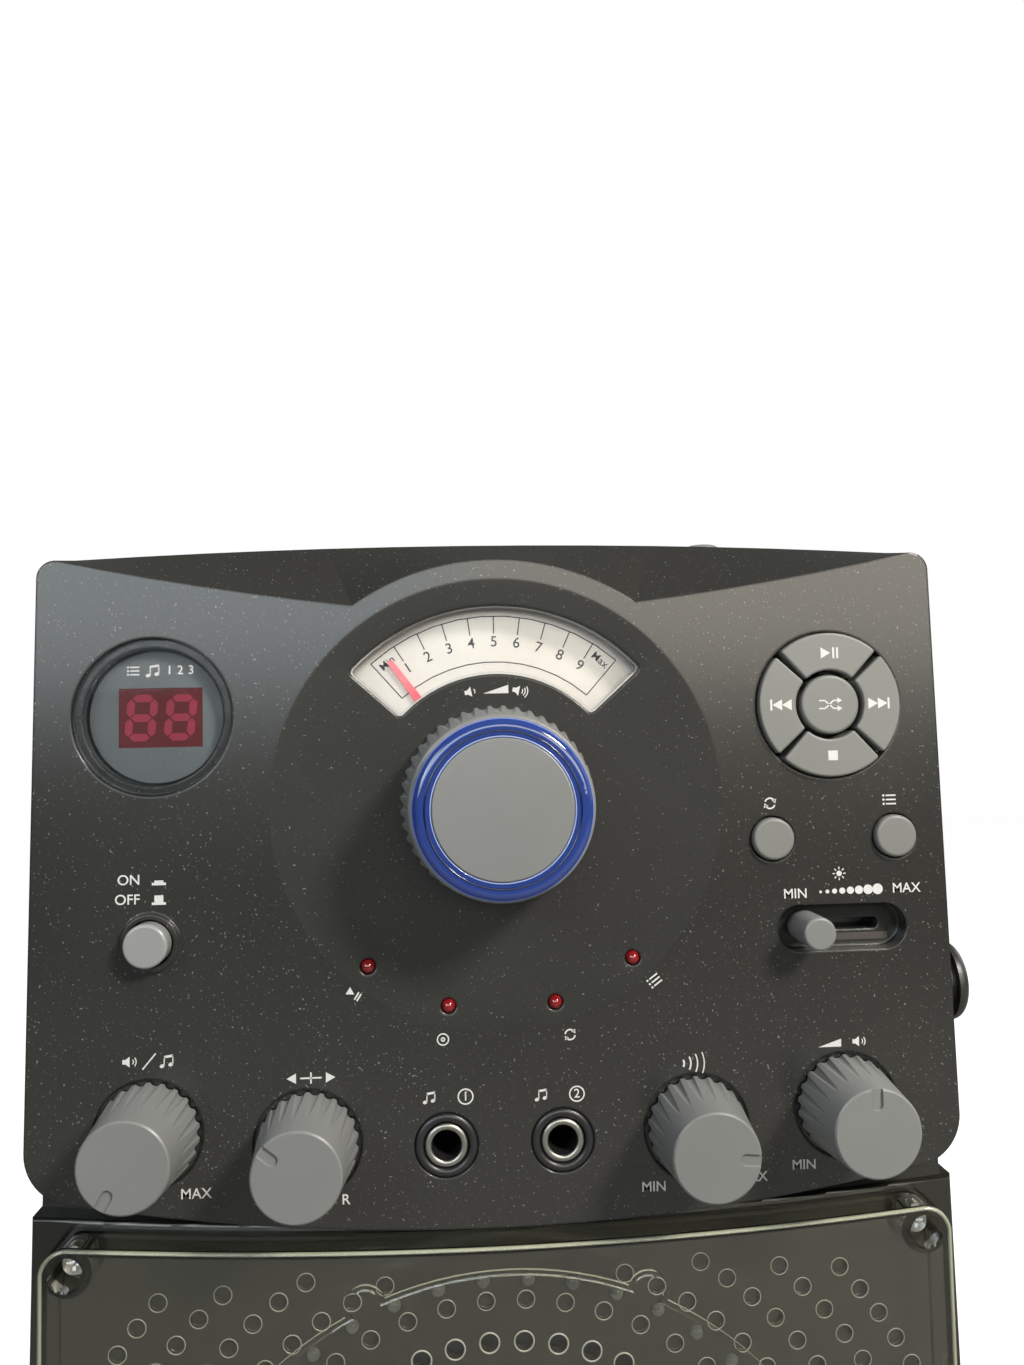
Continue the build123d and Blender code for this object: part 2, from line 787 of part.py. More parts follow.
small_knob(voice_at, -150, "voice_knob")
small_knob(balance_at, -52, "balance_knob")
small_knob(echo_at, 95, "echo_knob")
small_knob(microphone_at, 0, "microphone_knob")

with BuildPart() as tone_pots:
    with BuildSketch(facing(board_face_y, 0, knob_z)):
        with Locations(*small_knob_places):
            Rectangle(2 * pot_half, 2 * pot_half)
            Circle(small_shaft_radius + running, mode=Mode.SUBTRACT)
    extrude(amount=board_face_y - panel_back - loose)
    with BuildSketch(facing(board_face_y, 0, knob_z)):
        with Locations(*small_knob_places):
            Circle(small_shaft_radius + 1)
    extrude(amount=2.0)
finish(tone_pots, "tone_pots")


# ------------------------------------------------------------------ display
with BuildPart() as display_lens:
    with BuildSketch(on_panel(face_y + lens_seat_depth, display_at)):
        Circle(lens_radius)
    extrude(amount=lens_seat_depth)
    with BuildSketch(on_panel(face_y, display_at)):
        Circle(lens_radius - 0.2)
    with BuildSketch(on_panel(face_y - lens_rise, display_at)):
        Circle(lens_flat_radius)
    loft()
    with BuildSketch(on_panel(face_y + lens_seat_depth, display_at)):
        Circle(lens_hole_radius - 0.2)
    extrude(amount=-(panel_wall - lens_seat_depth))
    fillet(display_lens.edges().group_by(Axis.Y)[0], 0.5)
finish(display_lens, "display_lens")

with BuildPart() as display_module:
    with BuildSketch(on_panel(board_face_y, display_at)):
        Rectangle(module_width, module_height)
    extrude(amount=board_face_y - face_y - module_face_depth)
finish(display_module, "display_module")


# ------------------------------------------------------------------ keys and buttons
switch_face_y = board_face_y - 5.0
key_top_y = face_y - key_rise
key_under_y = panel_back + loose


def key_stem(at, back_from):
    """Stem behind a key, ending just short of its switch."""
    with Locations(on_panel(back_from, at)):
        Cylinder(plunger_radius, switch_face_y - key_travel - back_from,
                 align=(Align.CENTER, Align.CENTER, Align.MAX))


def round_key(at, radius, name):
    """Round key with a flange behind the panel."""
    with BuildPart() as key:
        with BuildSketch(on_panel(key_under_y, at)):
            Circle(radius)
        extrude(amount=key_under_y - key_top_y)
        fillet(key.edges().group_by(Axis.Y)[0], 0.7)
        with BuildSketch(on_panel(key_under_y, at)):
            Circle(radius + key_clearance + key_flange)
        extrude(amount=-key_flange_thickness)
        key_stem(at, key_under_y + key_flange_thickness)
    finish(key, name)


def sector_key(direction, name):
    """One quarter of the round keypad, pointing up when direction is 90."""
    inner = center_key_radius + keypad_gap
    middle = (inner + keypad_radius) / 2
    stem_at = (keypad_at[0] + middle * cos(radians(direction)), keypad_at[1] + middle * sin(radians(direction)))
    half_angle = 45 - degrees(keypad_gap / 2 / middle)
    with BuildPart() as key:
        with BuildSketch(on_panel(key_under_y, keypad_at)):
            with PolarLocations(0, 1, start_angle=direction - 90):
                add(ring_sector(inner, keypad_radius, half_angle, 0.6))
        extrude(amount=key_under_y - key_top_y)
        fillet(key.edges().group_by(Axis.Y)[0], 0.5)
        with BuildSketch(on_panel(key_under_y, keypad_at)):
            with PolarLocations(0, 1, start_angle=direction - 90):
                add(ring_sector(inner, keypad_radius + key_clearance + key_flange, half_angle, 0.6))
        extrude(amount=-key_flange_thickness)
        key_stem(stem_at, key_under_y + key_flange_thickness)
    finish(key, name)
    return stem_at


def center_key(name):
    """Middle key of the round keypad, held by its stem."""
    with BuildPart() as key:
        with BuildSketch(on_panel(key_under_y + key_flange_thickness, keypad_at)):
            Circle(center_key_radius)
        extrude(amount=key_under_y + key_flange_thickness - key_top_y)
        fillet(key.edges().group_by(Axis.Y)[0], 0.7)
        key_stem(keypad_at, key_under_y + key_flange_thickness)
    finish(key, name)


keypad_stems = [sector_key(90.0, "play_key"), sector_key(180.0, "previous_key"),
                sector_key(0.0, "next_key"), sector_key(270.0, "stop_key")]
center_key("random_key")
round_key(repeat_at, round_key_radius, "repeat_key")
round_key(program_at, round_key_radius, "program_key")
switch_places = keypad_stems + [keypad_at, repeat_at, program_at]

# power button: a plain cap that latches in; its switch stands on the board
power_switch_y = board_face_y - 7.0
with BuildPart() as power_button:
    with BuildSketch(on_panel(power_switch_y - loose - power_travel, power_at)):
        Circle(power_radius)
    extrude(amount=power_switch_y - loose - power_travel - (face_y - power_rise))
    fillet(power_button.edges().group_by(Axis.Y)[0], 0.6)
finish(power_button, "power_button")

# ------------------------------------------------------------------ light-level slider
slider_center_x = slider_at[0]
slider_rest = (slider_center_x - slider_travel / 2, slider_at[1])
slider_floor_y = face_y + slot_depth
slider_pot_face_y = slot_back_y + 0.4
with BuildPart() as slider_cap:
    with BuildSketch(on_panel(slider_floor_y - loose, slider_rest)):
        Circle(slider_cap_radius)
    extrude(amount=slider_floor_y - loose - (face_y - slider_rise))
    fillet(slider_cap.edges().group_by(Axis.Y)[0], 0.6)
    with BuildSketch(on_panel(slider_floor_y - loose, slider_rest)):
        Rectangle(3.0, slider_stem_width)
    extrude(amount=-(board_face_y - 2.5 - slider_floor_y + loose))
finish(slider_cap, "slider_cap")

with BuildPart() as slider_pot:
    with BuildSketch(on_panel(board_face_y, slider_at)):
        Rectangle(slider_travel + 16, 9.0)
    extrude(amount=board_face_y - slider_pot_face_y)
    with BuildSketch(on_panel(slider_pot_face_y, slider_at)):
        SlotOverall(slider_travel + 4.0, slider_slit_width)
    extrude(amount=-(board_face_y - 1.5 - slider_pot_face_y), mode=Mode.SUBTRACT)
finish(slider_pot, "slider_pot")

# ------------------------------------------------------------------ status lamps and microphone jacks
with BuildPart() as status_lamps:
    with BuildSketch(facing(face_y + 0.9, 0, knob_z)):
        with Locations(*status_places()):
            Circle(status_lamp_radius)
    extrude(amount=-(board_face_y - face_y - 0.9))
    with Locations(*[(x, face_y + 0.9, knob_z + up) for x, up in status_places()]):
        Sphere(status_lamp_radius)
finish(status_lamps, "status_lamps")

jack_face_y = face_y + 0.4


def microphone_jack(at, name):
    """Panel jack for a 6.35 mm plug: metal bush in front, square body behind the face."""
    with BuildPart() as jack:
        with BuildSketch(on_panel(panel_back, at)):
            Circle(jack_bush_radius)
        extrude(amount=panel_back - jack_face_y)
        chamfer(jack.edges().group_by(Axis.Y)[0], 0.4)
        with BuildSketch(on_panel(panel_back, at)):
            Rectangle(2 * jack_body_half, 2 * jack_body_half)
        extrude(amount=-(jack_length - (panel_back - jack_face_y)))
        with BuildSketch(on_panel(jack_face_y, at)):
            Circle(jack_bore_radius)
        extrude(amount=-(jack_length - 2.0), mode=Mode.SUBTRACT)
    finish(jack, name)


microphone_jack(jack_one_at, "microphone_jack_1")
microphone_jack(jack_two_at, "microphone_jack_2")

# ------------------------------------------------------------------ control board
with BuildPart() as control_board:
    with BuildSketch(facing(front_wall_y, 0, knob_z)) as board:
        with Locations((0, (board_low + board_high) / 2)):
            Rectangle(2 * board_half_width, board_high - board_low)
        fillet(low_corners(board), panel_bottom_corner)
        Circle(main_shaft_radius + 0.6, mode=Mode.SUBTRACT)
        with Locations(jack_one_at, jack_two_at):
            Rectangle(2 * jack_body_half + 1, 2 * jack_body_half + 1, mode=Mode.SUBTRACT)
        with Locations(*panel_boss_places):
            Circle(panel_screw_boss_radius + 0.6, mode=Mode.SUBTRACT)
    extrude(amount=board_thickness)
    with BuildSketch(facing(board_face_y, 0, knob_z)):
        with Locations(*switch_places):
            Rectangle(6, 6)
    extrude(amount=board_face_y - switch_face_y)
    with BuildSketch(on_panel(board_face_y, power_at)):
        Rectangle(9, 9)
    extrude(amount=board_face_y - power_switch_y)
finish(control_board, "control_board")

# ------------------------------------------------------------------ baffle, light cover and speaker
baffle_top = cover_top + baffle_gap
baffle_back_y = baffle_y + baffle_plate
lamp_board_thickness = 1.6
lamp_board_y = front_wall_y - lamp_board_thickness


def sagging_outline(bottom, top_middle, half_low, half_high):
    """Closed outline with a straight foot and a top edge that sags in the middle."""
    corner_z = bowed_z(half_high, top_middle, cover_radius)
    Polyline((-half_high, corner_z), (-half_low, bottom), (half_low, bottom), (half_high, corner_z))
    ThreePointArc((half_high, corner_z), (0, top_middle), (-half_high, corner_z))


def cover_screw_places():
    """Centres of the cover's four corner bosses."""
    inset = cover_corner
    high_z = bowed_z(cover_half_width, cover_top, cover_radius) - inset
    return [(sx * (cover_half_width - inset), z) for sx in (-1, 1) for z in (cover_bottom + inset, high_z)]


def ring_places(rings, everywhere):
    """Hole centres on rings round the speaker, kept inside the cover unless everywhere is set."""
    places = []
    for radius, count in rings:
        for k in range(count):
            angle = 2 * pi * (k + 0.5) / count
            x = radius * sin(angle)
            up = radius * cos(angle)
            inside = abs(x) < dimple_limit_x and -dimple_limit_down < up < dimple_limit_up
            if everywhere or inside:
                places.append((x, up))
    return places


with BuildPart() as speaker_baffle:
    with BuildSketch(facing(baffle_y)) as plate:
        with BuildLine():
            sagging_outline(foot_height, baffle_top, half_width(foot_height), half_width(baffle_top))
        make_face()
        fillet(low_corners(plate), base_corner)
    extrude(amount=-(front_wall_y - baffle_y))
    fillet(speaker_baffle.edges().group_by(Axis.Y)[0], 0.8)
    with BuildSketch(facing(baffle_back_y)) as pocket:
        with BuildLine():
            sagging_outline(foot_height + baffle_plate, baffle_top - baffle_plate,
                            half_width(foot_height) - baffle_plate, half_width(baffle_top) - baffle_plate)
        make_face()
        fillet(low_corners(pocket), base_corner - baffle_plate)
    extrude(amount=-panel_depth, mode=Mode.SUBTRACT)
    with BuildSketch(facing(baffle_back_y)):
        with Locations(*cover_screw_places()):
            Circle(cover_screw_radius + 2.0)
    extrude(amount=-(front_wall_y - baffle_back_y))
    with BuildSketch(facing(baffle_y, 0, speaker_z)):
        with Locations(*ring_places(through_rings, True)):
            Circle(hole_radius)
        with PolarLocations(lamp_ring_radius, lamp_count, start_angle=90 + 180 / lamp_count):
            Circle(lamp_radius + 0.15)
    extrude(amount=-baffle_plate, mode=Mode.SUBTRACT)
    with BuildSketch(facing(baffle_y, 0, speaker_z)):
        with Locations(*ring_places(dimple_rings, False)):
            Circle(dimple_radius)
    extrude(amount=-dimple_depth, mode=Mode.SUBTRACT)
    with BuildSketch(facing(baffle_y)):
        with Locations(*cover_screw_places()):
            Circle(cover_screw_radius + running)
    extrude(amount=-(front_wall_y - baffle_y - 0.6), mode=Mode.SUBTRACT)
finish(speaker_baffle, "speaker_baffle")

# clear cover: a shallow tray over the baffle, with a ring moulded inside it and four corner bosses
with BuildPart() as light_cover:
    with BuildSketch(facing(face_y)) as front:
        with BuildLine():
            sagging_outline(cover_bottom, cover_top, cover_half_width, cover_half_width)
        make_face()
        fillet(front.vertices(), cover_corner)
    extrude(amount=-baffle_setback)
    fillet(light_cover.edges().group_by(Axis.Y)[0], cover_edge_round)
    with BuildSketch(facing(face_y + cover_wall)) as inside:
        with BuildLine():
            sagging_outline(cover_bottom + cover_wall, cover_top - cover_wall,
                            cover_half_width - cover_wall, cover_half_width - cover_wall)
        make_face()
        fillet(inside.vertices(), cover_corner - cover_wall)
    extrude(amount=-baffle_setback, mode=Mode.SUBTRACT)
    with BuildSketch(facing(face_y + cover_wall)):
        with Locations(*cover_screw_places()):
            Circle(cover_boss_radius)
    extrude(amount=-(baffle_setback - cover_wall))
    with BuildSketch(facing(face_y + cover_wall, 0, speaker_z)):
        Circle(ridge_radius)
        with Locations(*[(ridge_radius * sin(radians(a)), ridge_radius * cos(radians(a)))
                         for a in ridge_boss_angles]):
            Circle(ridge_boss_radius)
        Circle(ridge_radius - ridge_width, mode=Mode.SUBTRACT)
        with Locations(*[(ridge_radius * sin(radians(a)), ridge_radius * cos(radians(a)))
                         for a in ridge_boss_angles]):
            Circle(ridge_boss_radius - ridge_width, mode=Mode.SUBTRACT)
        with BuildLine():
            sagging_outline(cover_bottom + cover_wall / 2, cover_top - cover_wall / 2,
                            cover_half_width - cover_wall / 2, cover_half_width - cover_wall / 2)
        make_face(mode=Mode.INTERSECT)
    extrude(amount=-ridge_height)
    with BuildSketch(facing(face_y)):
        with Locations(*cover_screw_places()):
            Circle(cover_screw_bore)
    extrude(amount=-(baffle_setback - cover_screw_seat), mode=Mode.SUBTRACT)
    with BuildSketch(facing(face_y)):
        with Locations(*cover_screw_places()):
            Circle(cover_screw_radius + 0.2)
    extrude(amount=-baffle_setback, mode=Mode.SUBTRACT)
finish(light_cover, "light_cover")


def cross_recess(arm, width):
    """Cross-shaped driver recess as a sketch."""
    Rectangle(arm, width)
    Rectangle(width, arm)


screw_seat_y = baffle_y - cover_screw_seat
with BuildPart() as cover_screws:
    for place in cover_screw_places():
        with BuildSketch(facing(screw_seat_y, *place)):
            Circle(cover_screw_head)
        extrude(amount=cover_screw_head_height, taper=12)
        with BuildSketch(facing(screw_seat_y, *place)):
            Circle(cover_screw_radius)
        extrude(amount=-(cover_screw_seat + front_wall_y - baffle_y - 1.2))
        with BuildSketch(facing(screw_seat_y - cover_screw_head_height, *place)):
            cross_recess(screw_recess_arm, screw_recess_width)
        extrude(amount=-screw_recess_depth, mode=Mode.SUBTRACT)
finish(cover_screws, "cover_screws")

# ring-shaped board and its lamps, which stand through the baffle
with BuildPart() as light_board:
    with BuildSketch(facing(front_wall_y, 0, speaker_z)):
        Circle(light_board_outer)
        Circle(light_board_inner, mode=Mode.SUBTRACT)
    extrude(amount=lamp_board_thickness)
finish(light_board, "light_board")

with BuildPart() as light_lamps:
    with BuildSketch(facing(lamp_board_y, 0, speaker_z)):
        with PolarLocations(lamp_ring_radius, lamp_count, start_angle=90 + 180 / lamp_count):
            Circle(lamp_radius)
    extrude(amount=lamp_board_y - baffle_y + lamp_proud)
    fillet(light_lamps.edges().group_by(Axis.Y)[0], lamp_radius * 0.8)
finish(light_lamps, "light_lamps")

# speaker: pressed frame behind the front wall, paper cone with roll edge, ring magnet
flange_y = front_wall_y + front_wall
frame_back_y = flange_y + speaker_depth * 0.6
basket_radius = speaker_flange_radius - 5.0
axis_of_speaker = Axis((0, flange_y, speaker_z), (0, 1, 0))
rim_thickness = 0.9
neck_y = flange_y + 20.0
voice_radius = 14.0
dome_rise = 5.5
dome_thickness = 0.8
dome_radius = (voice_radius ** 2 + dome_rise ** 2) / (2 * dome_rise)


def dome_y(radius):
    """Depth of the dust dome's front at a distance from the speaker's axis."""
    return neck_y - dome_rise + dome_radius - sqrt(dome_radius ** 2 - radius ** 2)


with BuildPart() as speaker_cone:
    with BuildSketch(Plane.YZ):
        with BuildLine():
            roll_outer = speaker_z + cone_radius
            roll_inner = roll_outer - 6.5
            rim_z = speaker_z + speaker_flange_radius - 1.0
            voice_z = speaker_z + voice_radius
            Line((flange_y, rim_z), (flange_y, roll_outer))
            ThreePointArc((flange_y, roll_outer), (flange_y - 2.2, (roll_inner + roll_outer) / 2),
                          (flange_y, roll_inner))
            Line((flange_y, roll_inner), (neck_y, voice_z))
            ThreePointArc((neck_y, voice_z), (dome_y(7.0), speaker_z + 7.0), (dome_y(0), speaker_z))
            Line((dome_y(0), speaker_z), (dome_y(0) + dome_thickness, speaker_z))
            ThreePointArc((dome_y(0) + dome_thickness, speaker_z), (dome_y(7.0) + dome_thickness, speaker_z + 7.0),
                          (neck_y + dome_thickness, voice_z))
            Line((neck_y + dome_thickness, voice_z), (flange_y + rim_thickness, roll_inner))
            Line((flange_y + rim_thickness, roll_inner), (flange_y + rim_thickness, rim_z))
            Line((flange_y + rim_thickness, rim_z), (flange_y, rim_z))
        make_face()
    revolve(axis=axis_of_speaker)
finish(speaker_cone, "speaker_cone")

basket_y = flange_y + rim_thickness
with BuildPart() as speaker_frame:
    with BuildSketch(Plane.YZ):
        with BuildLine():
            inner_z = speaker_z + cone_radius + 1.5
            Polyline((basket_y, inner_z), (basket_y, speaker_z + speaker_flange_radius),
                     (basket_y + basket_sheet, speaker_z + speaker_flange_radius),
                     (basket_y + basket_sheet, speaker_z + basket_radius),
                     (frame_back_y, speaker_z + magnet_radius + 3),
                     (frame_back_y, speaker_z + magnet_bore_radius + 2.5),
                     (frame_back_y - basket_sheet, speaker_z + magnet_bore_radius + 2.5),
                     (frame_back_y - basket_sheet, speaker_z + magnet_radius + 1.4),
                     (basket_y + 2.2, inner_z), close=True)
        make_face()
    revolve(axis=axis_of_speaker)
    with BuildSketch(facing(frame_back_y + 1.0, 0, speaker_z)):
        with PolarLocations((basket_radius + magnet_radius) / 2 + 1, basket_slot_count):
            SlotOverall(basket_slot_length, basket_slot_width, rotation=90)
    extrude(amount=frame_back_y + 1.0 - basket_y - 2.5, mode=Mode.SUBTRACT)
finish(speaker_frame, "speaker_frame")

with BuildPart() as speaker_magnet:
    with BuildSketch(facing(frame_back_y, 0, speaker_z)):
        Circle(magnet_radius)
        Circle(magnet_bore_radius, mode=Mode.SUBTRACT)
    extrude(amount=-magnet_thickness)
    with BuildSketch(facing(frame_back_y + magnet_thickness, 0, speaker_z)):
        Circle(magnet_radius - 2)
    extrude(amount=-(speaker_depth * 0.4 - magnet_thickness))
    with BuildSketch(facing(frame_back_y + magnet_thickness, 0, speaker_z)):
        Circle(pole_radius)
    extrude(amount=frame_back_y + magnet_thickness - neck_y - 2.5)
finish(speaker_magnet, "speaker_magnet")

# ------------------------------------------------------------------ top deck, disc tray and lid
lid_axis_z = crown_height - lid_axis_drop
barrel_radius = lid_axis_drop
opening_back_y = lid_axis_y + barrel_radius + 0.5
ledge_z = deck_base + ledge_thickness
tray_top = ledge_z + tray_height
frame_top = crown_z(opening_half_width + frame_wall) - 0.2
opening_y = (opening_front_y + opening_back_y) / 2
opening_length = opening_back_y - opening_front_y
lid_front_y = opening_front_y + lid_clearance
lid_half_width = opening_half_width - lid_clearance
pin_hole_radius = lid_pin_radius + running


def crowned_outline(low_z, half_low, half_high, below):
    """Outline under the arched top: flat foot, side walls, and the crown lowered by below."""
    Polyline((-half_high, crown_z(half_high, below)), (-half_low, low_z), (half_low, low_z),
             (half_high, crown_z(half_high, below)))
    ThreePointArc((half_high, crown_z(half_high, below)), (0, crown_height - below),
                  (-half_high, crown_z(half_high, below)))


with BuildPart() as top_deck:
    with BuildSketch(facing(front_wall_y)):
        with BuildLine():
            crowned_outline(deck_base, half_width(deck_base), crown_half_width, 0)
        make_face()
    extrude(amount=-(back_y - front_wall_y))
    rails = top_deck.edges().filter_by(Axis.Y).group_by(Axis.Z)[-1]
    fillet(rails, crown_corner)
    with BuildSketch(facing(front_wall_y + shell_wall)):
        with BuildLine():
            crowned_outline(deck_base, half_width(deck_base) - shell_wall, crown_half_width - shell_wall, shell_wall)
        make_face()
    extrude(amount=-(back_y - front_wall_y - 2 * shell_wall), mode=Mode.SUBTRACT)
    with BuildSketch(Plane.XY.offset(deck_base)):
        with Locations((0, opening_y)):
            Rectangle(2 * (opening_half_width + frame_wall), opening_length + 2 * frame_wall)
    extrude(amount=frame_top - deck_base)
    with BuildSketch(Plane.XY.offset(ledge_z)):
        with Locations((0, opening_y)):
            Rectangle(2 * opening_half_width, opening_length)
    extrude(amount=crown_height, mode=Mode.SUBTRACT)
    with BuildSketch(Plane.XY.offset(deck_base)):
        with Locations((0, opening_y)):
            Rectangle(2 * (opening_half_width - ledge), opening_length - 2 * ledge)
    extrude(amount=ledge_thickness, mode=Mode.SUBTRACT)
    with BuildSketch(Plane.YZ.offset(-opening_half_width - frame_wall)):
        with Locations((lid_axis_y, lid_axis_z)):
            Circle(pin_hole_radius)
    extrude(amount=2 * (opening_half_width + frame_wall), mode=Mode.SUBTRACT)
    with BuildSketch(Plane.XY.offset(deck_base)):
        with Locations(lid_button_at):
            Circle(lid_button_radius + loose)
    extrude(amount=crown_height, mode=Mode.SUBTRACT)
finish(top_deck, "top_deck")

with BuildPart() as disc_tray:
    with BuildSketch(Plane.XY.offset(ledge_z)):
        with Locations((0, opening_y)):
            Rectangle(2 * (opening_half_width - tray_clearance), opening_length - 2 * tray_clearance)
    extrude(amount=tray_height)
    with BuildSketch(Plane.XY.offset(tray_top)):
        with Locations((0, well_y)):
            Circle(well_radius)
        with Locations((-well_radius, well_y), (well_radius, well_y)):
            Circle(finger_radius)
    extrude(amount=-well_depth, mode=Mode.SUBTRACT)
    fillet(disc_tray.faces().sort_by(Axis.Z)[-1].edges().filter_by(GeomType.CIRCLE), 0.8)
    with BuildSketch(Plane.XY.offset(ledge_z)):
        with Locations((0, well_y)):
            Circle(turntable_radius + 2.0)
        with Locations(((pickup_start + pickup_travel) / 2 + 8, well_y)):
            Rectangle(pickup_start + pickup_travel + 4, 2 * pickup_half + 4)
    extrude(amount=tray_height, mode=Mode.SUBTRACT)
finish(disc_tray, "disc_tray")

with BuildPart() as disc_lid:
    with BuildSketch(facing(lid_front_y)):
        with BuildLine():
            crowned_outline(tray_top + 1.0, lid_half_width, lid_half_width, 0)
        make_face()
    extrude(amount=-(lid_axis_y + barrel_radius - lid_front_y))
    with BuildSketch(facing(lid_front_y + frame_wall)):
        with BuildLine():
            crowned_outline(tray_top, lid_half_width - frame_wall, lid_half_width - frame_wall, lid_skin)
        make_face()
    extrude(amount=-(lid_axis_y - barrel_radius - lid_front_y - frame_wall), mode=Mode.SUBTRACT)
    # the rear edge is rounded about the hinge axis so that it clears the deck as it turns
    with BuildSketch(Plane.YZ.offset(-lid_half_width)):
        with Locations((lid_axis_y + barrel_radius, lid_axis_z)):
            Rectangle(2 * barrel_radius, 4 * barrel_radius)
        with Locations((lid_axis_y, lid_axis_z)):
            Circle(barrel_radius, mode=Mode.SUBTRACT)
    extrude(amount=2 * lid_half_width, mode=Mode.SUBTRACT)
    with BuildSketch(Plane.XY.offset(tray_top)):
        with Locations((0, well_y)):
            Circle(lid_window_radius)
    extrude(amount=crown_height, mode=Mode.SUBTRACT)
    with BuildSketch(Plane.YZ.offset(-lid_half_width - lid_pin_length)):
        with Locations((lid_axis_y, lid_axis_z)):
            Circle(lid_pin_radius)
    extrude(amount=2 * (lid_half_width + lid_pin_length))
    # thumb scoop in the front edge
    with BuildSketch(Plane.XY.offset(crown_height - lid_skin / 2)):
        with Locations((0, lid_front_y - thumb_scoop_out)):
            Circle(thumb_scoop_radius)
    extrude(amount=lid_skin, mode=Mode.SUBTRACT)
finish(disc_lid, "disc_lid")

with BuildPart() as lid_window:
    with BuildSketch(facing(lid_front_y)):
        with BuildLine():
            crowned_outline(crown_height - 3 * lid_skin, lid_half_width - 12, lid_half_width - 12, lid_skin)
        make_face()
    extrude(amount=-(lid_axis_y - lid_front_y))
    with BuildSketch(facing(lid_front_y)):
        with BuildLine():
            crowned_outline(crown_height - 4 * lid_skin, lid_half_width, lid_half_width,
                            lid_skin + lid_window_thickness)
        make_face()
    extrude(amount=-(lid_axis_y - lid_front_y), mode=Mode.SUBTRACT)
    with BuildSketch(Plane.XY.offset(tray_top)):
        with Locations((0, well_y)):
            Circle(lid_window_radius + lid_window_lap)
    extrude(amount=crown_height - tray_top, mode=Mode.INTERSECT)
finish(lid_window, "lid_window")

button_crown = crown_z(lid_button_at[0])
with BuildPart() as lid_button:
    with BuildSketch(Plane.XY.offset(button_crown - lid_button_length)):
        with Locations(lid_button_at):
            Circle(lid_button_radius)
    extrude(amount=lid_button_length + lid_button_rise)
    fillet(lid_button.faces().sort_by(Axis.Z)[-1].edges(), lid_button_rise * 0.6)
    with BuildSketch(Plane.XY.offset(button_crown - shell_wall - lid_button_flange_gap)):
        with Locations(lid_button_at):
            Circle(lid_button_radius + lid_button_flange)
    extrude(amount=-lid_button_flange_thickness)
finish(lid_button, "lid_button")

# ------------------------------------------------------------------ disc mechanism under the tray
chassis_top = deck_base - chassis_drop
rod_z = chassis_top - rod_drop
lug_low_x = pickup_start - sled_half_width - lug_gap - lug_width / 2
lug_high_x = pickup_start + pickup_travel + sled_half_width + lug_gap + lug_width / 2
disc_z = tray_top - well_depth + disc_lift
motor_top = chassis_top - chassis_thickness
post_places = [(x, well_y + sy * (chassis_half_y - post_inset)) for sy in (-1, 1)
               for x in (chassis_low_x + post_inset, lug_high_x - 2 * post_radius)]

with BuildPart() as mechanism_chassis:
    with BuildSketch(Plane.XY.offset(chassis_top)):
        with Locations(((chassis_low_x + chassis_high_x) / 2, well_y)):
            RectangleRounded(chassis_high_x - chassis_low_x, 2 * chassis_half_y, 4)
        with Locations((0, well_y)):
            Circle(spindle_radius + 2.0, mode=Mode.SUBTRACT)
        with Locations(((lug_low_x + lug_high_x) / 2, well_y)):
            Rectangle(lug_high_x - lug_low_x - lug_width, 2 * rod_spread + 12, mode=Mode.SUBTRACT)
    extrude(amount=-chassis_thickness)
    with BuildSketch(Plane.XY.offset(chassis_top - chassis_thickness)):
        with Locations((lug_low_x, well_y), (lug_high_x, well_y)):
            Rectangle(lug_width, 2 * rod_spread + 10)
    extrude(amount=-lug_depth)
    with BuildSketch(Plane.XY.offset(chassis_top)):
        with Locations(*post_places):
            Circle(post_radius)
    extrude(amount=ledge_z - chassis_top)
    with BuildSketch(Plane.YZ.offset(lug_low_x - lug_width)):
        with Locations((well_y - rod_spread, rod_z), (well_y + rod_spread, rod_z)):
            Circle(rod_radius)
    extrude(amount=lug_high_x - lug_low_x + 2 * lug_width, mode=Mode.SUBTRACT)
finish(mechanism_chassis, "mechanism_chassis")

with BuildPart() as guide_rods:
    with BuildSketch(Plane.YZ.offset(lug_low_x - lug_width / 2)):
        with Locations((well_y - rod_spread, rod_z), (well_y + rod_spread, rod_z)):
            Circle(rod_radius)
    extrude(amount=lug_high_x - lug_low_x + lug_width)
finish(guide_rods, "guide_rods")

with BuildPart() as pickup_sled:
    with BuildSketch(Plane.XY.offset(rod_z - sled_half_thickness)):
        with Locations((pickup_start, well_y)):
            Rectangle(2 * sled_half_width, 2 * rod_spread + 7)
    extrude(amount=2 * sled_half_thickness)
    with BuildSketch(Plane.XY.offset(rod_z + sled_half_thickness)):
        with Locations((pickup_start, well_y)):
            Rectangle(2 * pickup_half, 2 * pickup_half)
    extrude(amount=disc_z - lens_drop - rod_z - sled_half_thickness)
    with BuildSketch(Plane.XY.offset(disc_z - lens_drop)):
        with Locations((pickup_start, well_y)):
            Circle(lens_radius_pickup)
    extrude(amount=lens_height)
    with BuildSketch(Plane.YZ.offset(pickup_start - sled_half_width)):
        with Locations((well_y - rod_spread, rod_z), (well_y + rod_spread, rod_z)):
            Circle(rod_radius + running)
    extrude(amount=2 * sled_half_width, mode=Mode.SUBTRACT)
finish(pickup_sled, "pickup_sled")

with BuildPart() as spindle_motor:
    with BuildSketch(Plane.XY.offset(motor_top)):
        with Locations((0, well_y)):
            Circle(motor_radius)
    extrude(amount=-motor_height)
    with BuildSketch(Plane.XY.offset(motor_top)):
        with Locations((0, well_y)):
            Circle(spindle_radius + running)
    extrude(amount=motor_floor - motor_height, mode=Mode.SUBTRACT)
finish(spindle_motor, "spindle_motor")

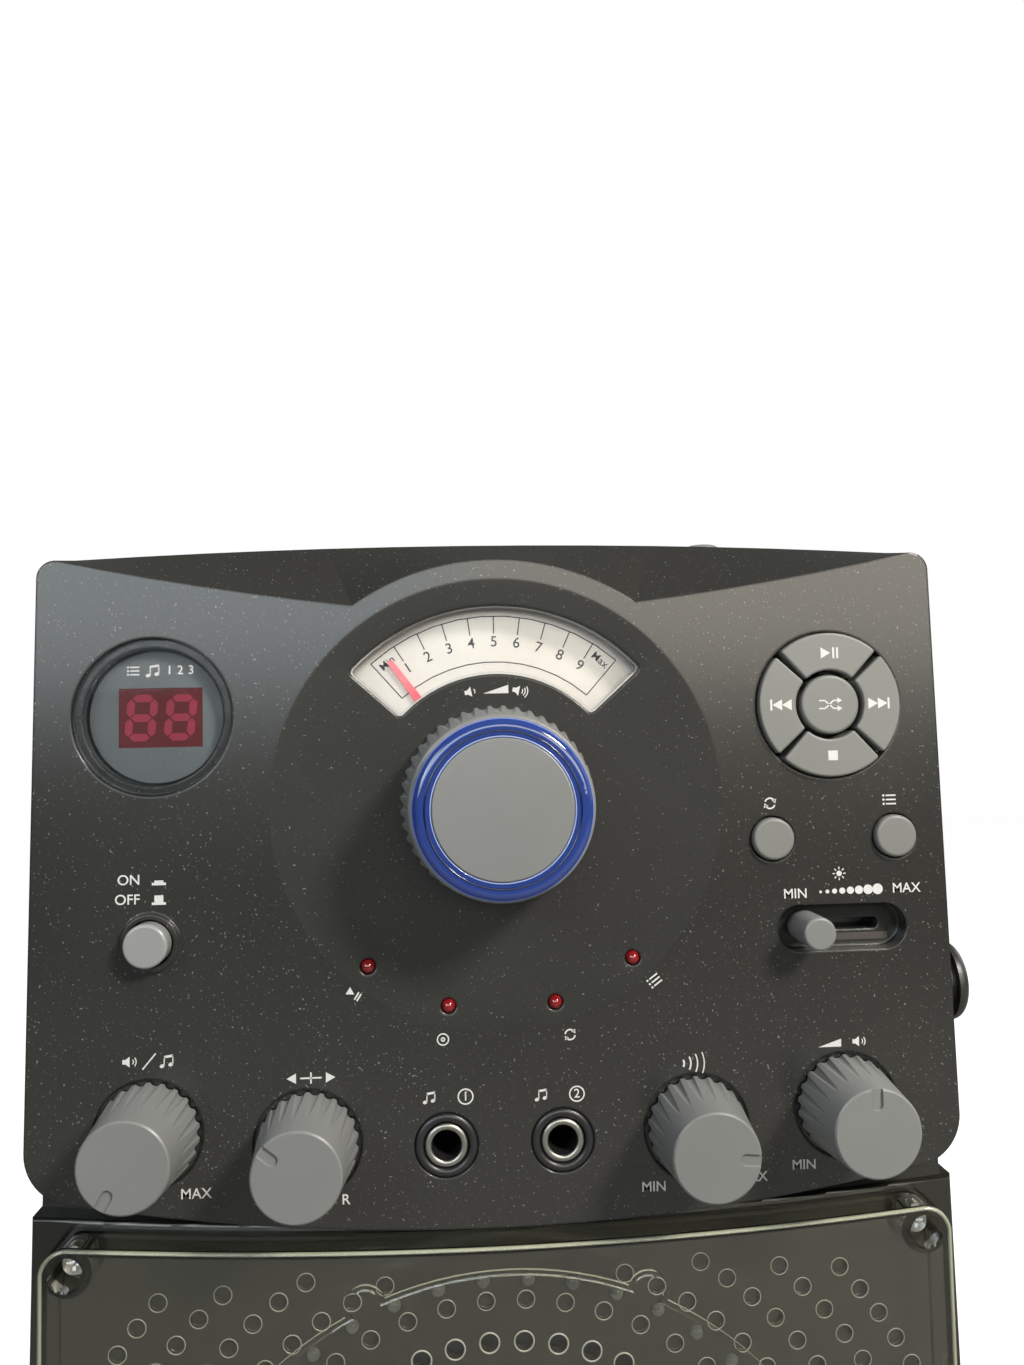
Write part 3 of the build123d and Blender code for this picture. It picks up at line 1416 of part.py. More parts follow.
with BuildPart() as turntable:
    with BuildSketch(Plane.XY.offset(motor_top - motor_height + motor_floor + loose)):
        with Locations((0, well_y)):
            Circle(spindle_radius)
    extrude(amount=disc_z - motor_top + motor_height - motor_floor - loose)
    with BuildSketch(Plane.XY.offset(disc_z - turntable_thickness)):
        with Locations((0, well_y)):
            Circle(turntable_radius)
    extrude(amount=turntable_thickness)
    with BuildSketch(Plane.XY.offset(disc_z)):
        with Locations((0, well_y)):
            Circle(disc_bore_radius)
    extrude(amount=hub_height)
    chamfer(turntable.faces().sort_by(Axis.Z)[-1].edges(), hub_chamfer)
finish(turntable, "turntable")

# ------------------------------------------------------------------ rear cover and what it carries
vent_places = [(sx * (vent_start + vent_spacing * k), vent_height) for sx in (-1, 1) for k in range(vent_count)]
rear_screw_places = [(sx * x, z) for sx in (-1, 1) for x, z in rear_screw_rows]
socket_places = [((k - 1) * socket_spacing, socket_height) for k in range(3)]
main_board_y = shell_back_y - main_board_setback

with BuildPart() as rear_cover:
    with BuildSketch(facing(shell_back_y)) as back:
        with BuildLine():
            trapezoid(foot_height, deck_base)
        make_face()
        fillet(low_corners(back), base_corner)
        with Locations(*vent_places):
            SlotOverall(vent_length, vent_width, rotation=90, mode=Mode.SUBTRACT)
        with Locations(*socket_places):
            Circle(socket_collar_radius + 0.2, mode=Mode.SUBTRACT)
        with Locations(inlet_at):
            Rectangle(inlet_width + 1.0, inlet_height + 1.0, mode=Mode.SUBTRACT)
        with Locations(*rear_screw_places):
            Circle(cover_screw_radius + 0.2, mode=Mode.SUBTRACT)
    extrude(amount=-rear_cover_thickness)
    with BuildSketch(facing(shell_back_y)):
        with Locations(*rear_screw_places):
            Circle(rear_boss_radius)
            Circle(cover_screw_radius + running, mode=Mode.SUBTRACT)
    extrude(amount=rear_boss_length)
    fillet(rear_cover.faces().sort_by(Axis.Y)[-1].outer_wire().edges(), rear_boss_round)
finish(rear_cover, "rear_cover")

with BuildPart() as rear_screws:
    for place in rear_screw_places:
        with BuildSketch(facing(back_y, *place)):
            Circle(cover_screw_head)
        extrude(amount=-cover_screw_head_height, taper=12)
        with BuildSketch(facing(back_y, *place)):
            Circle(cover_screw_radius)
        extrude(amount=rear_screw_length)
        with BuildSketch(facing(back_y + cover_screw_head_height, *place)):
            cross_recess(screw_recess_arm, screw_recess_width)
        extrude(amount=screw_recess_depth, mode=Mode.SUBTRACT)
finish(rear_screws, "rear_screws")

with BuildPart() as sound_sockets:
    for place in socket_places:
        with BuildSketch(facing(main_board_y, *place)):
            Rectangle(socket_body, socket_body)
        extrude(amount=-(shell_back_y - main_board_y))
        with BuildSketch(facing(shell_back_y, *place)):
            Circle(socket_collar_radius)
        extrude(amount=-rear_cover_thickness)
        with BuildSketch(facing(back_y, *place)):
            Circle(socket_ring_radius)
        extrude(amount=-socket_pin_length)
        with BuildSketch(facing(back_y + socket_pin_length, *place)):
            Circle(socket_bore_radius)
        extrude(amount=socket_bore_depth, mode=Mode.SUBTRACT)
finish(sound_sockets, "sound_sockets")

with BuildPart() as power_inlet:
    with BuildSketch(facing(main_board_y, *inlet_at)):
        Rectangle(inlet_width, inlet_height)
    extrude(amount=-(back_y - main_board_y))
    with BuildSketch(facing(back_y, *inlet_at)):
        Circle(inlet_bore_radius)
        Circle(inlet_pin_radius, mode=Mode.SUBTRACT)
    extrude(amount=inlet_bore_depth, mode=Mode.SUBTRACT)
finish(power_inlet, "power_inlet")

with BuildPart() as main_board:
    with BuildSketch(facing(main_board_y, main_board_x, socket_height)):
        Rectangle(main_board_width, main_board_height)
    extrude(amount=main_board_thickness)
finish(main_board, "main_board")
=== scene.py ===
from math import asin, cos, pi, radians, sin, sqrt

import bmesh
import bpy
from mathutils import Matrix, Vector


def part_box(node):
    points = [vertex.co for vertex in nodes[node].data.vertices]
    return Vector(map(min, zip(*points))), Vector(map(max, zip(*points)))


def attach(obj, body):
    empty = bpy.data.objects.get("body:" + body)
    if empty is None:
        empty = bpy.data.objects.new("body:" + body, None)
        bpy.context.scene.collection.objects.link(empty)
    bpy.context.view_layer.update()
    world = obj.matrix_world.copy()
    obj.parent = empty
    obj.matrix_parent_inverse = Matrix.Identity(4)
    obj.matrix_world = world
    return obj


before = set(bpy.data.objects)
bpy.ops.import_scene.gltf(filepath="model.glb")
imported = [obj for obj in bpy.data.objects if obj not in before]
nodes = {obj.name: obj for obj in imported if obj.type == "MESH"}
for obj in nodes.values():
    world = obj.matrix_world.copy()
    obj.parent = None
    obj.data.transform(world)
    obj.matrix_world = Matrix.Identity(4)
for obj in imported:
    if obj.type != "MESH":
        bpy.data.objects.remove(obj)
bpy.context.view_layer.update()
MM = 0.001

# ---------------------------------------------------------------- viewpoint, light and ground
# The machine stands on a pale table and is seen from close in front of its panel, a little to
# the left of the middle and turned slightly down.
scene = bpy.context.scene
scene.view_settings.view_transform = "Standard"
camera_place = Vector((-0.0107, -0.3233, 0.2840))
camera_right = Vector((0.9979, -0.0613, -0.0205))
camera_up = Vector((0.0170, -0.0569, 0.9982))
camera_back = Vector((-0.0624, -0.9965, -0.0558))
camera_data = bpy.data.cameras.new("viewpoint")
camera_data.sensor_fit = "VERTICAL"
camera_data.sensor_height = 36.0
camera_data.lens = 27.03
camera_data.clip_start = 0.01
camera = bpy.data.objects.new("viewpoint", camera_data)
camera.matrix_world = Matrix.Translation(camera_place) @ Matrix(
    (camera_right, camera_up, camera_back)).transposed().to_4x4()
scene.collection.objects.link(camera)
scene.camera = camera


def blank_material(name):
    """New material with what its nodes are made by: the tree's add and link, and its own shader."""
    material = bpy.data.materials.new(name)
    material.use_nodes = True
    tree = material.node_tree
    return material, tree.nodes.new, tree.links.new, tree.nodes["Principled BSDF"]


def pale_surface(name, colour, whiteness):
    """Matt ground that looks white to the camera and grey to everything it lights."""
    material, add, link, base = blank_material(name)
    base.inputs["Base Color"].default_value = (*colour, 1)
    base.inputs["Roughness"].default_value = 0.8
    path = add("ShaderNodeLightPath")
    seen = add("ShaderNodeMath")
    seen.operation = "MULTIPLY"
    seen.inputs[1].default_value = whiteness
    link(path.outputs["Is Camera Ray"], seen.inputs[0])
    base.inputs["Emission Color"].default_value = (1, 1, 1, 1)
    link(seen.outputs[0], base.inputs["Emission Strength"])
    return material


ground_mesh = bpy.data.meshes.new("table_top")
ground_half = 3.0
ground_corners = ((-1, -1), (1, -1), (1, 1), (-1, 1))
ground_mesh.from_pydata([(x * ground_half, y * ground_half, 0) for x, y in ground_corners], [],
                        [(0, 1, 2, 3)])
ground = bpy.data.objects.new("table_top", ground_mesh)
ground_mesh.materials.append(pale_surface("pale_table", (0.30, 0.30, 0.29), 0.95))
scene.collection.objects.link(ground)

world = bpy.data.worlds.new("room")
scene.world = world
world.use_nodes = True
sky = world.node_tree
room_light = sky.nodes["Background"]
room_light.inputs["Color"].default_value = (0.95, 0.98, 1.0, 1)
room_light.inputs["Strength"].default_value = 0.09
white = sky.nodes.new("ShaderNodeBackground")
white.inputs["Color"].default_value = (1, 1, 1, 1)
white.inputs["Strength"].default_value = 1.0
choose = sky.nodes.new("ShaderNodeMixShader")
sky_path = sky.nodes.new("ShaderNodeLightPath")
seen_through = sky.nodes.new("ShaderNodeMath")
seen_through.operation = "MAXIMUM"
sky.links.new(sky_path.outputs["Is Camera Ray"], seen_through.inputs[0])
sky.links.new(sky_path.outputs["Is Transmission Ray"], seen_through.inputs[1])
sky.links.new(seen_through.outputs[0], choose.inputs[0])
sky.links.new(room_light.outputs[0], choose.inputs[1])
sky.links.new(white.outputs[0], choose.inputs[2])
sky.links.new(choose.outputs[0], sky.nodes["World Output"].inputs["Surface"])


def soft_lamp(name, place, target, size, power, colour=(1, 1, 1)):
    """Rectangular studio lamp, size wide and tall, aimed at a point."""
    data = bpy.data.lights.new(name, "AREA")
    data.shape = "RECTANGLE"
    data.size, data.size_y = size
    data.energy = power
    data.color = colour
    lamp = bpy.data.objects.new(name, data)
    lamp.location = place
    lamp.rotation_euler = (Vector(target) - Vector(place)).to_track_quat("-Z", "Y").to_euler()
    scene.collection.objects.link(lamp)
    return lamp


panel_middle = (0, -0.095, 0.27)
soft_lamp("warm_lamp", (0.66, -0.82, 0.95), panel_middle, (0.24, 0.24), 17.8, (1.0, 0.95, 0.88))
soft_lamp("cool_lamp", (-0.79, -0.88, 0.74), panel_middle, (0.45, 0.45), 3.2, (0.88, 0.95, 1.0))
soft_lamp("back_lamp", (0.5, 1.1, 0.9), (0, 0.05, 0.2), (0.9, 0.9), 6.0).visible_glossy = False
soft_lamp("side_lamp", (1.1, 0.3, 0.6), (0.1, 0, 0.2), (0.7, 0.7), 3.0)
soft_lamp("top_lamp", (0, -0.35, 1.35), panel_middle, (0.7, 0.7), 3.8).visible_glossy = False
for side, power, colour in ((-1, 6.9, (0.86, 0.95, 1.0)), (1, 7.2, (1.0, 0.94, 0.82))):
    soft_lamp("sheen_lamp", (side * 0.55, -1.1, 0.54), (side * 0.55, 0, 0.54), (1.1, 0.38),
              power, colour).visible_diffuse = False


# ---------------------------------------------------------------- cabinet
# A tub, a top deck and a back, injection moulded in black styrene with a fine spark-eroded grain.
# The back is held by six black screws, and the machine stands on four rubber pads.
def moulded(name, colour, roughness, grain=0.45, depth=0.02, fleck=0.0, sheen_patch=0.10, coat=0.0,
            soft=0.0):
    """Moulded plastic: grain and soft edge in millimetres, patchy gloss and, where asked, pale dust."""
    material, add, link, base = blank_material(name)
    where = add("ShaderNodeTexCoord")
    fine = add("ShaderNodeTexNoise")
    fine.inputs["Scale"].default_value = 1 / (grain * MM)
    fine.inputs["Detail"].default_value = 3.0
    link(where.outputs["Object"], fine.inputs["Vector"])
    bump = add("ShaderNodeBump")
    bump.inputs["Distance"].default_value = depth * MM
    bump.inputs["Strength"].default_value = 0.55
    link(fine.outputs["Fac"], bump.inputs["Height"])
    link(bump.outputs["Normal"], base.inputs["Normal"])
    if soft:
        edge = add("ShaderNodeBevel")
        edge.samples = 6
        edge.inputs["Radius"].default_value = soft * MM
        link(edge.outputs["Normal"], bump.inputs["Normal"])
    broad = add("ShaderNodeTexNoise")
    broad.inputs["Scale"].default_value = 24.0
    broad.inputs["Detail"].default_value = 4.0
    link(where.outputs["Object"], broad.inputs["Vector"])
    gloss = add("ShaderNodeMapRange")
    gloss.inputs["To Min"].default_value = roughness - sheen_patch / 2
    gloss.inputs["To Max"].default_value = roughness + sheen_patch / 2
    link(broad.outputs["Fac"], gloss.inputs["Value"])
    link(gloss.outputs["Result"], base.inputs["Roughness"])
    shade = add("ShaderNodeMix")
    shade.data_type = "RGBA"
    shade.inputs["A"].default_value = (*[c * 0.86 for c in colour], 1)
    shade.inputs["B"].default_value = (*[min(1, c * 1.14) for c in colour], 1)
    link(broad.outputs["Fac"], shade.inputs["Factor"])
    top_colour = shade.outputs["Result"]
    if fleck:
        dust = add("ShaderNodeTexNoise")
        dust.inputs["Scale"].default_value = 2300.0
        dust.inputs["Detail"].default_value = 0.0
        link(where.outputs["Object"], dust.inputs["Vector"])
        spot = add("ShaderNodeMapRange")
        spot.inputs["From Min"].default_value = 0.77
        spot.inputs["From Max"].default_value = 0.86
        spot.inputs["To Max"].default_value = fleck
        link(dust.outputs["Fac"], spot.inputs["Value"])
        dusty = add("ShaderNodeMix")
        dusty.data_type = "RGBA"
        dusty.inputs["B"].default_value = (0.40, 0.40, 0.38, 1)
        link(top_colour, dusty.inputs["A"])
        link(spot.outputs["Result"], dusty.inputs["Factor"])
        top_colour = dusty.outputs["Result"]
    link(top_colour, base.inputs["Base Color"])
    base.inputs["Coat Weight"].default_value = coat
    base.inputs["Coat Roughness"].default_value = 0.15
    return material


def dress(names, material):
    """Give CAD nodes their finish."""
    for name in names:
        for slot in nodes[name].material_slots:
            slot.material = material


black_grain = moulded("black_grain", (0.027, 0.027, 0.024), 0.38, grain=0.42, depth=0.04, fleck=0.4)
satin_black = moulded("satin_black", (0.016, 0.016, 0.017), 0.34, grain=0.3, depth=0.01)
soft_rubber = moulded("soft_rubber", (0.016, 0.016, 0.016), 0.78, grain=0.9, depth=0.05)
dress(["cabinet_shell", "top_deck", "rear_cover", "side_peg"], black_grain)
dress(["rubber_feet"], soft_rubber)


def brushed(name, colour, roughness, stretch=(1, 1, 12)):
    """Drawn or ground metal with fine lines along one direction."""
    material, add, link, base = blank_material(name)
    base.inputs["Metallic"].default_value = 1.0
    base.inputs["Base Color"].default_value = (*colour, 1)
    where = add("ShaderNodeTexCoord")
    along = add("ShaderNodeMapping")
    along.inputs["Scale"].default_value = stretch
    lines = add("ShaderNodeTexNoise")
    lines.inputs["Scale"].default_value = 900.0
    lines.inputs["Detail"].default_value = 4.0
    link(where.outputs["Object"], along.inputs["Vector"])
    link(along.outputs["Vector"], lines.inputs["Vector"])
    uneven = add("ShaderNodeMapRange")
    uneven.inputs["To Min"].default_value = roughness * 0.75
    uneven.inputs["To Max"].default_value = roughness * 1.35
    link(lines.outputs["Fac"], uneven.inputs["Value"])
    link(uneven.outputs["Result"], base.inputs["Roughness"])
    bump = add("ShaderNodeBump")
    bump.inputs["Distance"].default_value = 0.01 * MM
    link(lines.outputs["Fac"], bump.inputs["Height"])
    link(bump.outputs["Normal"], base.inputs["Normal"])
    return material


bright_steel = brushed("bright_steel", (0.62, 0.62, 0.61), 0.22)
black_steel = brushed("black_steel", (0.10, 0.10, 0.10), 0.35)
plated_brass = brushed("plated_brass", (0.72, 0.55, 0.28), 0.25)
dress(["rear_screws"], black_steel)


# ---------------------------------------------------------------- speaker, baffle and light cover
# A paper-coned driver behind a perforated baffle. A ring of coloured lamps shines round it under
# a clear acrylic cover, which four screws in counterbored corner bosses hold.
def clear(name, tint, face_on, edge_on, roughness=0.06, gloss=0.6, haze_from=0.05):
    """Thin clear acrylic: nearly invisible face on and milky along its edges."""
    material, add, link, base = blank_material(name)
    base.inputs["Base Color"].default_value = (*tint, 1)
    base.inputs["Roughness"].default_value = roughness
    base.inputs["IOR"].default_value = 1.49
    base.inputs["Specular IOR Level"].default_value = gloss
    grazing = add("ShaderNodeLayerWeight")
    grazing.inputs["Blend"].default_value = 0.35
    where = add("ShaderNodeTexCoord")
    film = add("ShaderNodeTexNoise")
    film.inputs["Scale"].default_value = 40.0
    film.inputs["Detail"].default_value = 6.0
    link(where.outputs["Object"], film.inputs["Vector"])
    uneven = add("ShaderNodeMath")
    uneven.operation = "MULTIPLY_ADD"
    uneven.inputs[1].default_value = 0.10
    link(film.outputs["Fac"], uneven.inputs[0])
    link(grazing.outputs["Facing"], uneven.inputs[2])
    cover = add("ShaderNodeMapRange")
    cover.inputs["From Min"].default_value = haze_from
    cover.inputs["To Min"].default_value = face_on
    cover.inputs["To Max"].default_value = edge_on
    link(uneven.outputs[0], cover.inputs["Value"])
    link(cover.outputs["Result"], base.inputs["Alpha"])
    return material


def thick_acrylic(name, tint, roughness):
    """Clear cast acrylic that bends the view at its edges and lets the lamps' light through."""
    material, add, link, base = blank_material(name)
    base.inputs["Base Color"].default_value = (*tint, 1)
    base.inputs["Roughness"].default_value = roughness
    base.inputs["IOR"].default_value = 1.49
    base.inputs["Specular IOR Level"].default_value = 0.28
    base.inputs["Transmission Weight"].default_value = 1.0
    path = add("ShaderNodeLightPath")
    passing = add("ShaderNodeMath")
    passing.operation = "MAXIMUM"
    solid = add("ShaderNodeMath")
    solid.operation = "SUBTRACT"
    solid.inputs[0].default_value = 1.0
    link(path.outputs["Is Shadow Ray"], passing.inputs[0])
    link(path.outputs["Is Diffuse Ray"], passing.inputs[1])
    link(passing.outputs[0], solid.inputs[1])
    link(solid.outputs[0], base.inputs["Alpha"])
    return material


dress(["light_cover"], thick_acrylic("clear_cover", (0.95, 0.95, 0.86), 0.02))


def cover_outline(inset):
    """Front outline of the cover: square foot, sagging top edge, rounded corners, in millimetres."""
    low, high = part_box("light_cover")
    half, foot, crown = high.x / MM, low.z / MM, high.z / MM
    corner, bow = 6.0, 1100.0
    level = crown - (bow - sqrt(bow ** 2 - (half - corner) ** 2))
    points = []
    for k in range(33):
        u = (half - corner) * (1 - 2 * k / 32)
        points.append((u, level + bow - sqrt(bow ** 2 - u ** 2) - inset))
    for middle_u, middle_v, start in ((corner - half, crown - corner, pi / 2),
                                      (corner - half, foot + corner, pi),
                                      (half - corner, foot + corner, 3 * pi / 2),
                                      (half - corner, crown - corner, 2 * pi)):
        for k in range(1, 9):
            a = start + pi / 2 * k / 9
            points.append((middle_u + (corner - inset) * cos(a), middle_v + (corner - inset) * sin(a)))
    return points


def turn_outwards(piece):
    """Point a closed mesh's faces outwards."""
    work = bmesh.new()
    work.from_mesh(piece.data)
    bmesh.ops.recalc_face_normals(work, faces=work.faces)
    if work.calc_volume(signed=True) < 0:
        bmesh.ops.reverse_faces(work, faces=work.faces)
    work.to_mesh(piece.data)
    work.free()


def bead(name, outline, y, radius, body, material, sides=8):
    """Round bead along a closed outline that stands at one depth."""
    verts, faces = [], []
    count = len(outline)
    for k, (u, v) in enumerate(outline):
        along = Vector(outline[(k + 1) % count]) - Vector(outline[k - 1])
        out_u, out_v = along.y / along.length, -along.x / along.length
        for j in range(sides):
            a = 2 * pi * j / sides
            verts.append(((u + radius * cos(a) * out_u) * MM, (y + radius * sin(a)) * MM,
                          (v + radius * cos(a) * out_v) * MM))
            faces.append((k * sides + j, k * sides + (j + 1) % sides,
                          (k + 1) % count * sides + (j + 1) % sides, (k + 1) % count * sides + j))
    mesh = bpy.data.meshes.new(name)
    mesh.from_pydata(verts, [], faces)
    mesh.materials.append(material)
    mesh.shade_smooth()
    made = bpy.data.objects.new(name, mesh)
    scene.collection.objects.link(made)
    turn_outwards(made)
    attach(made, body)


# A pale bead just inside the cover's front edge is a painted highlight for the bright line that the thick
# acrylic's edge shows.
edge_inset = 0.65
bead("cover_edge_painted_highlight", cover_outline(edge_inset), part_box("light_cover")[0].y / MM + edge_inset, 0.40,
     "cabinet", moulded("painted_edge_highlight", (0.34, 0.36, 0.27), 0.14, grain=0.5, depth=0.004, coat=0.5))
dress(["speaker_baffle"], moulded("baffle_gloss", (0.022, 0.022, 0.016), 0.22, grain=0.6, depth=0.004,
                                  sheen_patch=0.06, soft=0.3))
dress(["cover_screws"], bright_steel)
dress(["light_board", "main_board", "control_board"],
      moulded("laminated_board", (0.030, 0.060, 0.022), 0.35, grain=0.25, depth=0.01))
dress(["light_lamps"], clear("lamp_bodies", (0.22, 0.23, 0.22), 0.30, 0.75, 0.04))
dress(["speaker_cone"], moulded("coated_paper", (0.030, 0.030, 0.031), 0.75, grain=0.8, depth=0.06))
dress(["speaker_frame"], moulded("pressed_steel_paint", (0.02, 0.02, 0.02), 0.40, grain=0.2, depth=0.01))
dress(["speaker_magnet"], moulded("ferrite", (0.05, 0.05, 0.052), 0.55, grain=0.3, depth=0.02))

baffle_y = -0.085
speaker_z = 0.0898
hole_rings = ((13.75, 11), (22.9, 18), (32.05, 26), (41.2, 32), (50.35, 40), (59.5, 48))
hole_radius = 2.1


def shape_tree(name, lengths, on_points=False):
    """Geometry node tree with named lengths as its inputs, and a mesh of points too where asked."""
    tree = bpy.data.node_groups.new(name, "GeometryNodeTree")
    if on_points:
        tree.interface.new_socket(name="Geometry", in_out="INPUT", socket_type="NodeSocketGeometry")
    tree.interface.new_socket(name="Geometry", in_out="OUTPUT", socket_type="NodeSocketGeometry")
    for label, length in lengths.items():
        socket = tree.interface.new_socket(name=label, in_out="INPUT", socket_type="NodeSocketFloat")
        socket.default_value = length
    return tree, tree.nodes.new, tree.links.new, tree.nodes.new("NodeGroupInput")


def lip_ring(add, link, sizes, round_steps, section_steps):
    """Flat torus on the tree's lip radius and thickness."""
    path = add("GeometryNodeCurvePrimitiveCircle")
    path.inputs["Resolution"].default_value = round_steps
    link(sizes.outputs["Lip radius"], path.inputs["Radius"])
    section = add("GeometryNodeCurvePrimitiveCircle")
    section.inputs["Resolution"].default_value = section_steps
    link(sizes.outputs["Lip thickness"], section.inputs["Radius"])
    lip = add("GeometryNodeCurveToMesh")
    link(path.outputs["Curve"], lip.inputs["Curve"])
    link(section.outputs["Curve"], lip.inputs["Profile Curve"])
    return lip.outputs["Mesh"]


def end_tree(add, link, copies, material):
    """Make copies real, smooth and finished, and hand them to the tree's output."""
    real = add("GeometryNodeRealizeInstances")
    link(copies, real.inputs["Geometry"])
    smooth = add("GeometryNodeSetShadeSmooth")
    link(real.outputs["Geometry"], smooth.inputs["Geometry"])
    finish = add("GeometryNodeSetMaterial")
    finish.inputs["Material"].default_value = material
    link(smooth.outputs["Geometry"], finish.inputs["Geometry"])
    link(finish.outputs["Geometry"], add("NodeGroupOutput").inputs["Geometry"])


def realized(name, tree, body, material, points=()):
    """Evaluate a node tree on a mesh of points and keep the plain mesh piece that it makes."""
    start = bpy.data.meshes.new(name)
    start.from_pydata(list(points), [], [])
    holder = bpy.data.objects.new(name, start)
    scene.collection.objects.link(holder)
    modifier = holder.modifiers.new("shape", "NODES")
    modifier.node_group = tree
    shaped = holder.evaluated_get(bpy.context.evaluated_depsgraph_get())
    made = bpy.data.meshes.new_from_object(shaped)
    made.name = name
    holder.modifiers.remove(modifier)
    holder.data = made
    if not made.materials:
        made.materials.append(material)
    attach(holder, body)


def hole_lips(material):
    """Raised lips round the speaker holes, coloured pale grey as a painted highlight on the black baffle:
    one small ring, repeated on each ring of holes.
    """
    tree, add, link, sizes = shape_tree("hole_lips", {"Lip radius": (hole_radius + 0.12) * MM,
                                                      "Lip thickness": 0.2 * MM})
    joined = add("GeometryNodeJoinGeometry")
    for radius, count in hole_rings:
        ring = add("GeometryNodeMeshCircle")
        ring.inputs["Vertices"].default_value = count
        ring.inputs["Radius"].default_value = radius * MM
        turned = add("GeometryNodeTransform")
        turned.inputs["Rotation"].default_value = (0, 0, pi / 2 - pi / count)
        link(ring.outputs["Mesh"], turned.inputs["Geometry"])
        link(turned.outputs["Geometry"], joined.inputs["Geometry"])
    spread = add("GeometryNodeInstanceOnPoints")
    link(joined.outputs["Geometry"], spread.inputs["Points"])
    link(lip_ring(add, link, sizes, 20, 6), spread.inputs["Instance"])
    stand = add("GeometryNodeTransform")
    stand.inputs["Rotation"].default_value = (pi / 2, 0, 0)
    stand.inputs["Translation"].default_value = (0, baffle_y, speaker_z)
    link(spread.outputs["Instances"], stand.inputs["Geometry"])
    end_tree(add, link, stand.outputs["Geometry"], material)
    return tree


# The lips are raised geometry, but their pale grey colour is a painted highlight for the glint on the holes'
# edges.
lip_painted_highlight = moulded("lip_painted_highlight", (0.42, 0.42, 0.38), 0.16, grain=0.3, depth=0.005, coat=0.6)
realized("hole_lips", hole_lips(lip_painted_highlight), "cabinet", lip_painted_highlight)
dimple_rings = ((68.6, 48), (77.8, 62), (86.9, 76), (96.1, 84), (105.2, 96))
dimple_radius = 2.0
dimple_aside, dimple_up, dimple_down = 93.0, 75.2, 72.5


def dimple_places():
    """Middles of the shallow dimples between the holes and the baffle's edges."""
    places = []
    for radius, count in dimple_rings:
        for k in range(count):
            a = pi / 2 + pi / count + 2 * pi * k / count
            u, v = radius * cos(a), radius * sin(a)
            if abs(u) < dimple_aside and -dimple_down < v < dimple_up:
                places.append((u * MM, baffle_y, speaker_z + v * MM))
    return places


def dimple_lips(material):
    """Thin raised lip round each dimple, coloured pale as a painted highlight, one small ring set on every
    place.
    """
    tree, add, link, sizes = shape_tree("dimple_lips", {"Lip radius": dimple_radius * MM,
                                                        "Lip thickness": 0.13 * MM}, on_points=True)
    upright = add("GeometryNodeTransform")
    upright.inputs["Rotation"].default_value = (pi / 2, 0, 0)
    link(lip_ring(add, link, sizes, 14, 5), upright.inputs["Geometry"])
    spread = add("GeometryNodeInstanceOnPoints")
    link(sizes.outputs["Geometry"], spread.inputs["Points"])
    link(upright.outputs["Geometry"], spread.inputs["Instance"])
    end_tree(add, link, spread.outputs["Instances"], material)
    return tree


# The dimple lips' pale colour is a painted highlight for the crescent glints in the dimples.
dimple_painted_highlight = moulded("dimple_painted_highlight", (0.30, 0.30, 0.25), 0.12, grain=0.3, depth=0.003, coat=0.8)
realized("dimple_lips", dimple_lips(dimple_painted_highlight), "cabinet", dimple_painted_highlight, dimple_places())

# ---------------------------------------------------------------- control panel and its printing
# One black moulding with a shallow dish round the main knob. Its marks are pad printed in white:
# plain numbers, ON and OFF, MIN and MAX, and signs that say what each control does.
face_y = -0.095
knob_z = 0.270
dish_radius = 50.3
dish_depth = 3.0
dish_sphere = (dish_radius ** 2 + dish_depth ** 2) / (2 * dish_depth)
ink_thickness = 0.04
dress(["control_panel"], moulded("panel_grain", (0.029, 0.029, 0.026), 0.22, grain=0.42, depth=0.010,
                                fleck=0.45, sheen_patch=0.05, soft=0.8))


def two_tone(name, dark, light, grain, roughness, metal=0.0):
    """Finish that wanders between two colours; grain is how many noise cells lie on a metre."""
    material, add, link, base = blank_material(name)
    base.inputs["Metallic"].default_value = metal
    base.inputs["Roughness"].default_value = roughness
    where = add("ShaderNodeTexCoord")
    patch = add("ShaderNodeTexNoise")
    patch.inputs["Scale"].default_value = grain
    shade = add("ShaderNodeMix")
    shade.data_type = "RGBA"
    shade.inputs["A"].default_value = (*dark, 1)
    shade.inputs["B"].default_value = (*light, 1)
    link(where.outputs["Object"], patch.inputs["Vector"])
    link(patch.outputs["Fac"], shade.inputs["Factor"])
    link(shade.outputs["Result"], base.inputs["Base Color"])
    return material


white_ink = two_tone("white_ink", (0.62, 0.62, 0.61), (0.82, 0.82, 0.81), 3000.0, 0.5)


def face_depth(u, v):
    """How far back the panel's surface lies, in millimetres, at a place beside the knob's axis."""
    square = u * u + v * v
    if square >= dish_radius ** 2:
        return 0.0
    return dish_depth - dish_sphere + sqrt(dish_sphere ** 2 - square)


